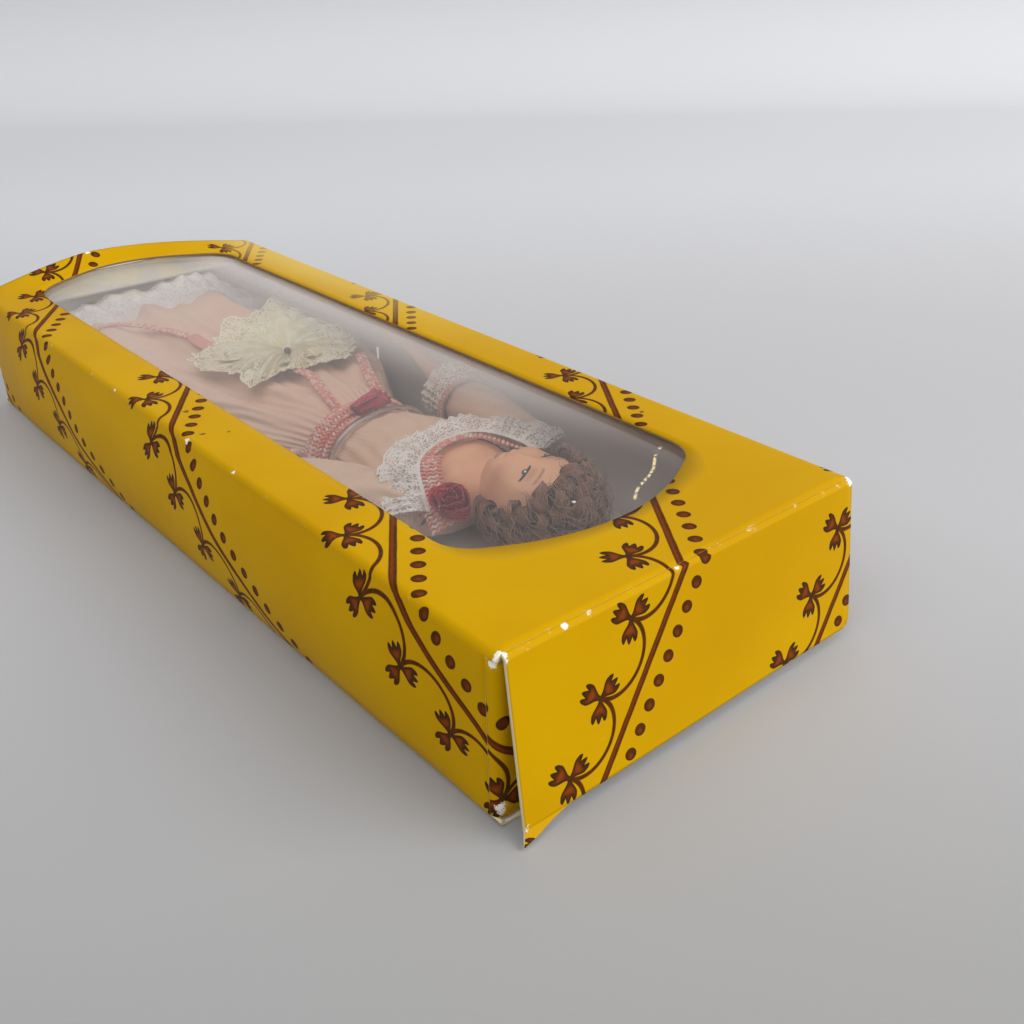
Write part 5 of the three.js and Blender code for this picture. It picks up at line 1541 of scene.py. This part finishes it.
def ribbon_rose(name, centre, size, tilt, node, turns=3.3, seed=1.0):
    """A ribbon rolled into a bud: one strip wound outwards, its edge falling open."""
    steps, rows = 300, 12
    grid, uv = [], []
    for k in range(rows):
        s = k / (rows - 1)
        line = []
        for i in range(steps):
            t = i / (steps - 1)
            a = turns * 2 * math.pi * t
            r = (0.10 + 0.90 * t**0.8) * (1 + 0.07 * math.sin(2.6 * a + seed))
            top = 1.0 - 0.55 * t + 0.10 * math.sin(3.1 * a + seed)
            z = -1.0 + (top + 1.0) * s
            r *= 0.55 + 0.45 * math.sin(min(1.0, s * 1.25) * math.pi / 2) + 0.16 * max(0.0, s - 0.8) * 5 * t
            line.append((r * math.cos(a), r * math.sin(a), z))
        grid.append(line)
        uv.append([(i * 0.16, s * 3.2) for i in range(steps)])
    grid = np.array(grid)
    for i in range(rows):
        for j in range(steps):
            grid[i, j] += 0.07 * rough_at(grid[i, j], 2.2, seed)
    turn = np.array(Matrix.Rotation(math.radians(tilt), 3, "Y"))
    grid = grid @ turn.T
    low, high = grid.reshape(-1, 3).min(axis=0), grid.reshape(-1, 3).max(axis=0)
    grid = (grid - (low + high) / 2) / (high - low) * np.array(size) + np.array(centre)
    rose = cloth(name, on_spine(grid), "rose ribbon", uv)
    modify(rose, "SOLIDIFY", thickness=0.16 * MM, offset=0)
    bake_modifiers(rose)
    place(rose, "carton", "rose", node)


class DOLL_OT_roses(bpy.types.Operator):
    """Roll the two ribbon roses"""

    bl_idname = "doll.roses"
    bl_label = "Ribbon Roses"

    def execute(self, context):
        ribbon_rose("rolled_shoulder_rose", (-12.8, -36.4, 15.3), (5.8, 8.2, 5.6), -25, "shoulder_rose")
        ribbon_rose("rolled_waist_rose", (0.9, -2.9, 19.4), (8.8, 4.6, 3.4), 80, "waist_rose", 2.6, 4.0)
        return {"FINISHED"}


def hem_wave(x):
    """How the front of the skirt rises and falls across its hem."""
    at = [-24, -14, -9, -3.5, 0.5, 5, 10, 14, 17.5, 21, 26]
    return float(np.interp(x, at, [0.4, 0.5, 0.7, 1.5, -0.1, 0.9, 1.8, 1.5, 0.0, -2.6, -3.4]))


class DOLL_OT_skirt(bpy.types.Operator):
    """Gather the skirt and the lace-edged petticoat below it"""

    bl_idname = "doll.skirt"
    bl_label = "Skirt"

    def execute(self, context):
        columns = 330
        angle = np.linspace(0, 2 * np.pi, columns, endpoint=False)
        grid, uv = [], []
        for y in np.concatenate([np.linspace(-1.9, 12, 36), np.linspace(13, 72, 78)]):
            x, half, front, back = between(SKIRT, y)
            deep = 0.75 * smooth_step((y + 1.9) / 22)
            fold = deep * (1 + 0.5 * smooth_step((y - 50) / 26)) * (np.cos(13 * angle + y / 20) - 1)
            pleats = np.cos(27 * angle + 2.2 * np.sin(4 * angle) + y * 0.02) ** 2
            fold -= 0.36 * math.exp(-(y + 1.9) / 8) * pleats
            creases = np.cos(19 * angle - y / 13 + 2 * np.sin(3 * angle + y / 31)) ** 2
            fold -= 0.35 * smooth_step(y / 14) * creases
            tilt = math.radians(LEAN) * (1 - smooth_step((y + 1.9) / 26))
            ring = body_ring(y, x, half, front, back, columns, fold=fold, tilt=tilt)
            grid.append(ring)
            uv.append(np.stack([angle * 27, np.full(columns, y)], axis=-1))
        grid = np.array(grid)
        for i in range(grid.shape[0]):
            for j in range(columns):
                p = grid[i, j]
                if p[2] > 9:
                    slack = rough_at((p[0] * 1.6 + p[1] * 0.5, p[1] * 0.55, 0), 0.16, 3.0)
                    p[2] -= 0.85 * (0.5 + slack) * smooth_step(grid[i, j, 1] / 10)
                    p[2] += hem_wave(p[0]) * smooth_step((p[1] - 48) / 22)
        skirt = cloth("gathered_skirt", grid, "skirt cotton", uv, closed=True)
        face_out(skirt)
        place(skirt, "carton", "pink", "skirt")
        grid, uv = [], []
        for y in np.concatenate([np.linspace(14, 70.4, 24), np.linspace(71.6, 82.6, 26)]):
            x, half, front, back = between(SKIRT, y)
            under = smooth_step((71.8 - y) / 3)
            flare = smooth_step((y - 71.4) / 8)
            deep = 0.75 * smooth_step((y + 1.9) / 22)
            fold = flare * 0.4 * np.sin(37 * angle + 1.6 * np.sin(5 * angle) + y * 0.1) - 0.3 * flare
            ring = body_ring(y, x, half, front, back, columns, fold=fold,
                             grow=-(1.75 + 2 * deep) * under + 0.5 * flare, back_grow=-1.5 * under)
            for p in ring:
                if p[2] > 9 and y > 71:
                    p[2] += 0.75 * hem_wave(p[0]) - 0.4 * (1 - flare) + 0.5 * rough_at(p, 0.25, 8.0) * flare
                    p[2] += 1.7 * flare * math.exp(-((p[0] - 17) / 8) ** 2)
            ring[:, 2] = np.minimum(ring[:, 2], 22.6)
            grid.append(ring)
            uv.append(np.stack([angle * 34, np.full(columns, max(0.0, (y - 70.4) * 0.65))], axis=-1))
        petticoat = cloth("lace_petticoat", grid, "hem lace", uv, closed=True)
        place(petticoat, "carton", "lace", "petticoat")
        return {"FINISHED"}


class DOLL_OT_sash(bpy.types.Operator):
    """Braid the sash and the cords that swag the skirt"""

    bl_idname = "doll.sash"
    bl_label = "Sash and Swags"

    SWAGS = [  # name, places on the skirt, and the frame's pieces that it replaces
        ("left_swag_links", [(0.5, -2.2), (1.1, 2), (2.2, 6.8), (3.2, 11), (2.6, 15)], ["left_swag_cord"]),
        ("right_swag_links", [(9.8, -3.4), (10.9, -0.6), (12.4, 3.8), (14.6, 9.6), (17.2, 15), (18.4, 18)],
         ["right_swag_cord"]),
        ("far_swag_links", [(-20, 68), (-14.8, 67), (-11, 63.5), (-7.5, 56.5), (-5.3, 50.5), (-4, 45)], []),
    ]

    def execute(self, context):
        grid, uv = [], []
        for y in np.linspace(-2.6, 1.6, 12):
            half, front, back = between(SASH, y)
            grid.append(on_spine(body_ring(y, 0, half, front, back, 120)))
            uv.append([(j * 0.5, y) for j in range(120)])
        band = cloth("sash_band", grid, "satin band", uv, closed=True)
        face_out(band)
        place(band, "carton", "braid", "sash")
        arc = np.radians(np.linspace(-25, 205, 90))
        lines = []
        for k, y in enumerate(np.linspace(-3.1, 2.1, 9)):
            half, front, back = between(SASH, min(1.5, max(-2.5, y)))
            line = on_spine(body_ring(y, 0, half, front, back, 90, grow=0.22, arc=arc))
            up = line - line.mean(axis=0)
            up[:, 1] = 0
            lines.append((line, unit_rows(up), 1 if k % 2 else -1))
        braid("sash_links", lines, "carton", 0.8, (0.62, 0.28, 0.28), 0.85)
        for name, points, nodes in self.SWAGS:
            path = curve_points([(x, y, skirt_top(x, y) + 0.45) for x, y in points], 60)
            up = np.tile((0.0, 0.0, 1.0), (60, 1))
            braid(name, flat_braid(path, up, 4, 0.5), "carton", 0.7, (0.52, 0.26, 0.25), 0.8, nodes)
        ribbon = []
        for t in np.linspace(0, 1, 24):
            x, y = -4.0 - 0.5 * math.sin(3 * t), 45.6 - 11 * t
            ribbon.append([(x + w, y, skirt_top(x + w, y) + 0.5 + 0.5 * math.sin(math.pi * (w + 1.4) / 2.8))
                           for w in np.linspace(-1.4, 1.4, 9)])
        tail = cloth("far_swag_ribbon", ribbon, "satin band")
        place(tail, "carton", "braid")
        return {"FINISHED"}


class DOLL_OT_rosette(bpy.types.Operator):
    """Gather the cream lace rosette round its bead"""

    bl_idname = "doll.rosette"
    bl_label = "Lace Rosette"

    RIM = [(-10.8, 35.4), (-12.0, 30.8), (-11.4, 27.4), (-8.6, 25.0), (-7.2, 21.1), (-9.1, 15.2), (-5.9, 14.2),
           (-1.6, 15.1), (2.2, 14.3), (6.9, 14.9), (10.6, 13.7), (15.3, 15.3), (19.8, 20.5), (23.7, 28.4),
           (24.4, 35.7), (22.4, 40.4), (22.3, 46), (21.1, 49.1), (23.9, 56.0), (22.0, 58.0), (18.3, 54.6),
           (12.2, 48.1), (9, 48.4), (7.8, 51.3), (5.3, 51), (1.3, 46), (-2.3, 41.1), (-4.6, 37.2),
           (-8.0, 37.6)]

    def execute(self, context):
        gather_at = np.array((4.0, 21.0))
        outline, steps = np.array(self.RIM, float), 560
        turn = np.linspace(0, 2 * np.pi, steps, endpoint=False)
        far = gather_at + 80 * np.stack([np.cos(turn), np.sin(turn)], axis=1)
        edge = np.array([np.linalg.norm(ray_hit(outline, gather_at, end) - gather_at) for end in far])
        soft = np.convolve(np.concatenate([edge[-6:], edge, edge[:6]]), np.ones(13) / 13, mode="valid")
        soft = soft * (1 + 0.14 * np.exp(-((turn - 1.05) / 0.5) ** 2))
        pieces = []
        for layer, (share, lift_at, seed) in enumerate(((1.0, 0.2, 0.0), (0.68, 1.0, 2.1))):
            grid, uv = [], []
            ruffles = 34 + 9 * np.sin(3 * turn + seed) + 6 * np.sin(7 * turn + 2 * seed)
            phase = np.cumsum(2 * np.pi / steps * ruffles)
            lobes = np.sin(7 * turn + 1.4 * np.sin(2 * turn + seed) + seed)
            rim = soft * share * (1 + 0.03 * np.sin(phase) + (0.05 * lobes if layer else 0.02 * lobes))
            for k in range(34):
                s = (k / 33) ** 0.85
                radius = 0.4 + (rim - 0.4) * s
                wave = np.sin(phase + 1.1 * np.sin(4 * turn + 3 * s + seed))
                x = gather_at[0] + radius * np.cos(turn + 0.03 * s * lobes)
                y = gather_at[1] + radius * np.sin(turn + 0.03 * s * lobes)
                base = np.array([skirt_top(float(a), float(b)) for a, b in zip(x, y)])
                roll = (0.5 + 0.5 * lobes) * math.sin(min(1.0, s * 1.15) * math.pi) ** 0.7
                high = base + 0.45 + lift_at + 1.8 * roll + (0.05 + 0.35 * s) * (0.5 + 0.5 * wave)
                crumple = np.array([rough_at((a, b, 0), 0.35, seed + 5) for a, b in zip(x, y)])
                high += 0.6 * crumple * s
                grid.append(np.stack([x, y, np.minimum(high, 23.4)], axis=-1))
                uv.append(np.stack([phase * 0.95, np.full(steps, 13.0 * s)], axis=-1))
            lace_piece = cloth(f"rosette_lace_{layer + 1}", grid, "cream lace", uv, closed=True)
            pieces.append(lace_piece)
        place(pieces[0], "carton", "cream", "lace_rosette")
        place(pieces[1], "carton", "cream")
        return {"FINISHED"}


class DOLL_OT_small_fittings(bpy.types.Operator):
    """Finish the retaining wire and the bead"""

    bl_idname = "doll.small_fittings"
    bl_label = "Wire and Bead"

    def execute(self, context):
        refinish("retaining_wire", "bright wire")
        refinish("rosette_bead", "brown bead")
        return {"FINISHED"}


# Stage


class DOLL_OT_stage(bpy.types.Operator):
    """Set the floor, the light and the camera"""

    bl_idname = "doll.stage"
    bl_label = "Stage"

    def execute(self, context):
        scene = context.scene
        scene.view_settings.view_transform = "Standard"
        camera = bpy.data.objects.new("camera", bpy.data.cameras.new("camera"))
        camera.data.lens, camera.data.sensor_width = 38.74, 36.0
        camera.data.clip_start, camera.data.clip_end = 0.01, 20
        columns = [(0.76480, -0.64402, -0.01806), (0.32057, 0.35608, 0.87775), (-0.55885, -0.67709, 0.47878)]
        turn = Matrix([[columns[c][r] for c in range(3)] for r in range(3)]).to_4x4()
        camera.matrix_world = Matrix.Translation((-0.092483, -0.163656, 0.095673)) @ turn
        scene.collection.objects.link(camera)
        scene.camera = camera
        m = Shade("table")
        at = m.object_mm()
        x, y, _ = m.split(at)
        # painted light: the floor darkens towards the camera and the left and lightens towards the back
        away = x * 0.37 + y * 0.5 + m.noise(at, 0.004, 2.0) * 20.0
        colour = m.mix(m.soft(away, -90.0, 5.0), rgb(142, 142, 141), rgb(175, 175, 177))
        colour = m.mix(m.soft(away, 20.0, 180.0), colour, rgb(198, 199, 202))
        m.coat(base_color=colour, roughness=0.75, normal=m.bump(m.noise(at, 0.9, 3.0), 0.05, 0.3))
        rows = [(y, 0.0) for y in np.linspace(-700, 420, 12)]
        rows += [(420 + 60 * math.sin(a), 60 - 60 * math.cos(a)) for a in np.linspace(0, math.pi / 2, 10)[1:]]
        rows += [(480, z) for z in np.linspace(80, 900, 6)]
        points = spin([(x, y, z) for y, z in rows for x in np.linspace(-1400, 1400, 8)], -39.5)
        floor = make_piece("table", points, grid_faces(len(rows), 8), m.material.name)
        face_out(floor, (0, 0, 1))
        world = bpy.data.worlds.new("studio") if scene.world is None else scene.world
        scene.world = world
        world.use_nodes = True
        background = world.node_tree.nodes["Background"]
        background.inputs[0].default_value = (*rgb(246, 246, 248), 1)
        background.inputs[1].default_value = 0.76

        def lamp(name, place, target, size, watts, colour=(1, 1, 1)):
            light = bpy.data.lights.new(name, "AREA")
            light.shape, light.size, light.energy, light.color = "DISK", size, watts, colour
            one = bpy.data.objects.new(name, light)
            one.location = place
            one.rotation_euler = (Vector(target) - Vector(place)).to_track_quat("-Z", "Y").to_euler()
            scene.collection.objects.link(one)

        lamp("window light", (0.62, -1.0, 0.62), (0, 0, 0), 1.1, 15.0, (1.0, 0.985, 0.96))
        lamp("ceiling panel", (0.0, 0.1, 1.3), (0, 0, 0), 1.0, 1.0)
        lamp("side fill", (-0.85, -0.1, 1.0), (0, 0, 0), 1.0, 3.6)
        return {"FINISHED"}


class DOLL_PT_panel(bpy.types.Panel):
    """Lists the doll's and the carton's pieces"""

    bl_idname = "DOLL_PT_panel"
    bl_label = "Boxed Doll"
    bl_space_type = "VIEW_3D"
    bl_region_type = "UI"
    bl_category = "Doll"

    def draw(self, context):
        for group in (context.scene.carton, context.scene.doll):
            for name in group.__annotations__:
                self.layout.prop(group, name)
        for piece in PIECES:
            self.layout.operator(piece.bl_idname)


PIECES = [DOLL_OT_stage, DOLL_OT_board_finishes, DOLL_OT_doll_finishes, DOLL_OT_carton_sleeve,
          DOLL_OT_end_flaps, DOLL_OT_window_film, DOLL_OT_body, DOLL_OT_head, DOLL_OT_wig, DOLL_OT_bodice,
          DOLL_OT_collar, DOLL_OT_sash, DOLL_OT_roses, DOLL_OT_skirt, DOLL_OT_rosette, DOLL_OT_small_fittings]
CLASSES = [CartonSettings, DollSettings, *PIECES, DOLL_PT_panel]


def register():
    for one in CLASSES:
        bpy.utils.register_class(one)
    bpy.types.Scene.carton = PointerProperty(type=CartonSettings)
    bpy.types.Scene.doll = PointerProperty(type=DollSettings)


def unregister():
    del bpy.types.Scene.doll
    del bpy.types.Scene.carton
    for one in reversed(CLASSES):
        bpy.utils.unregister_class(one)


def main():
    register()
    for piece in PIECES:
        group, name = piece.bl_idname.split(".")
        getattr(getattr(bpy.ops, group), name)()


if __name__ == "__main__":
    main()
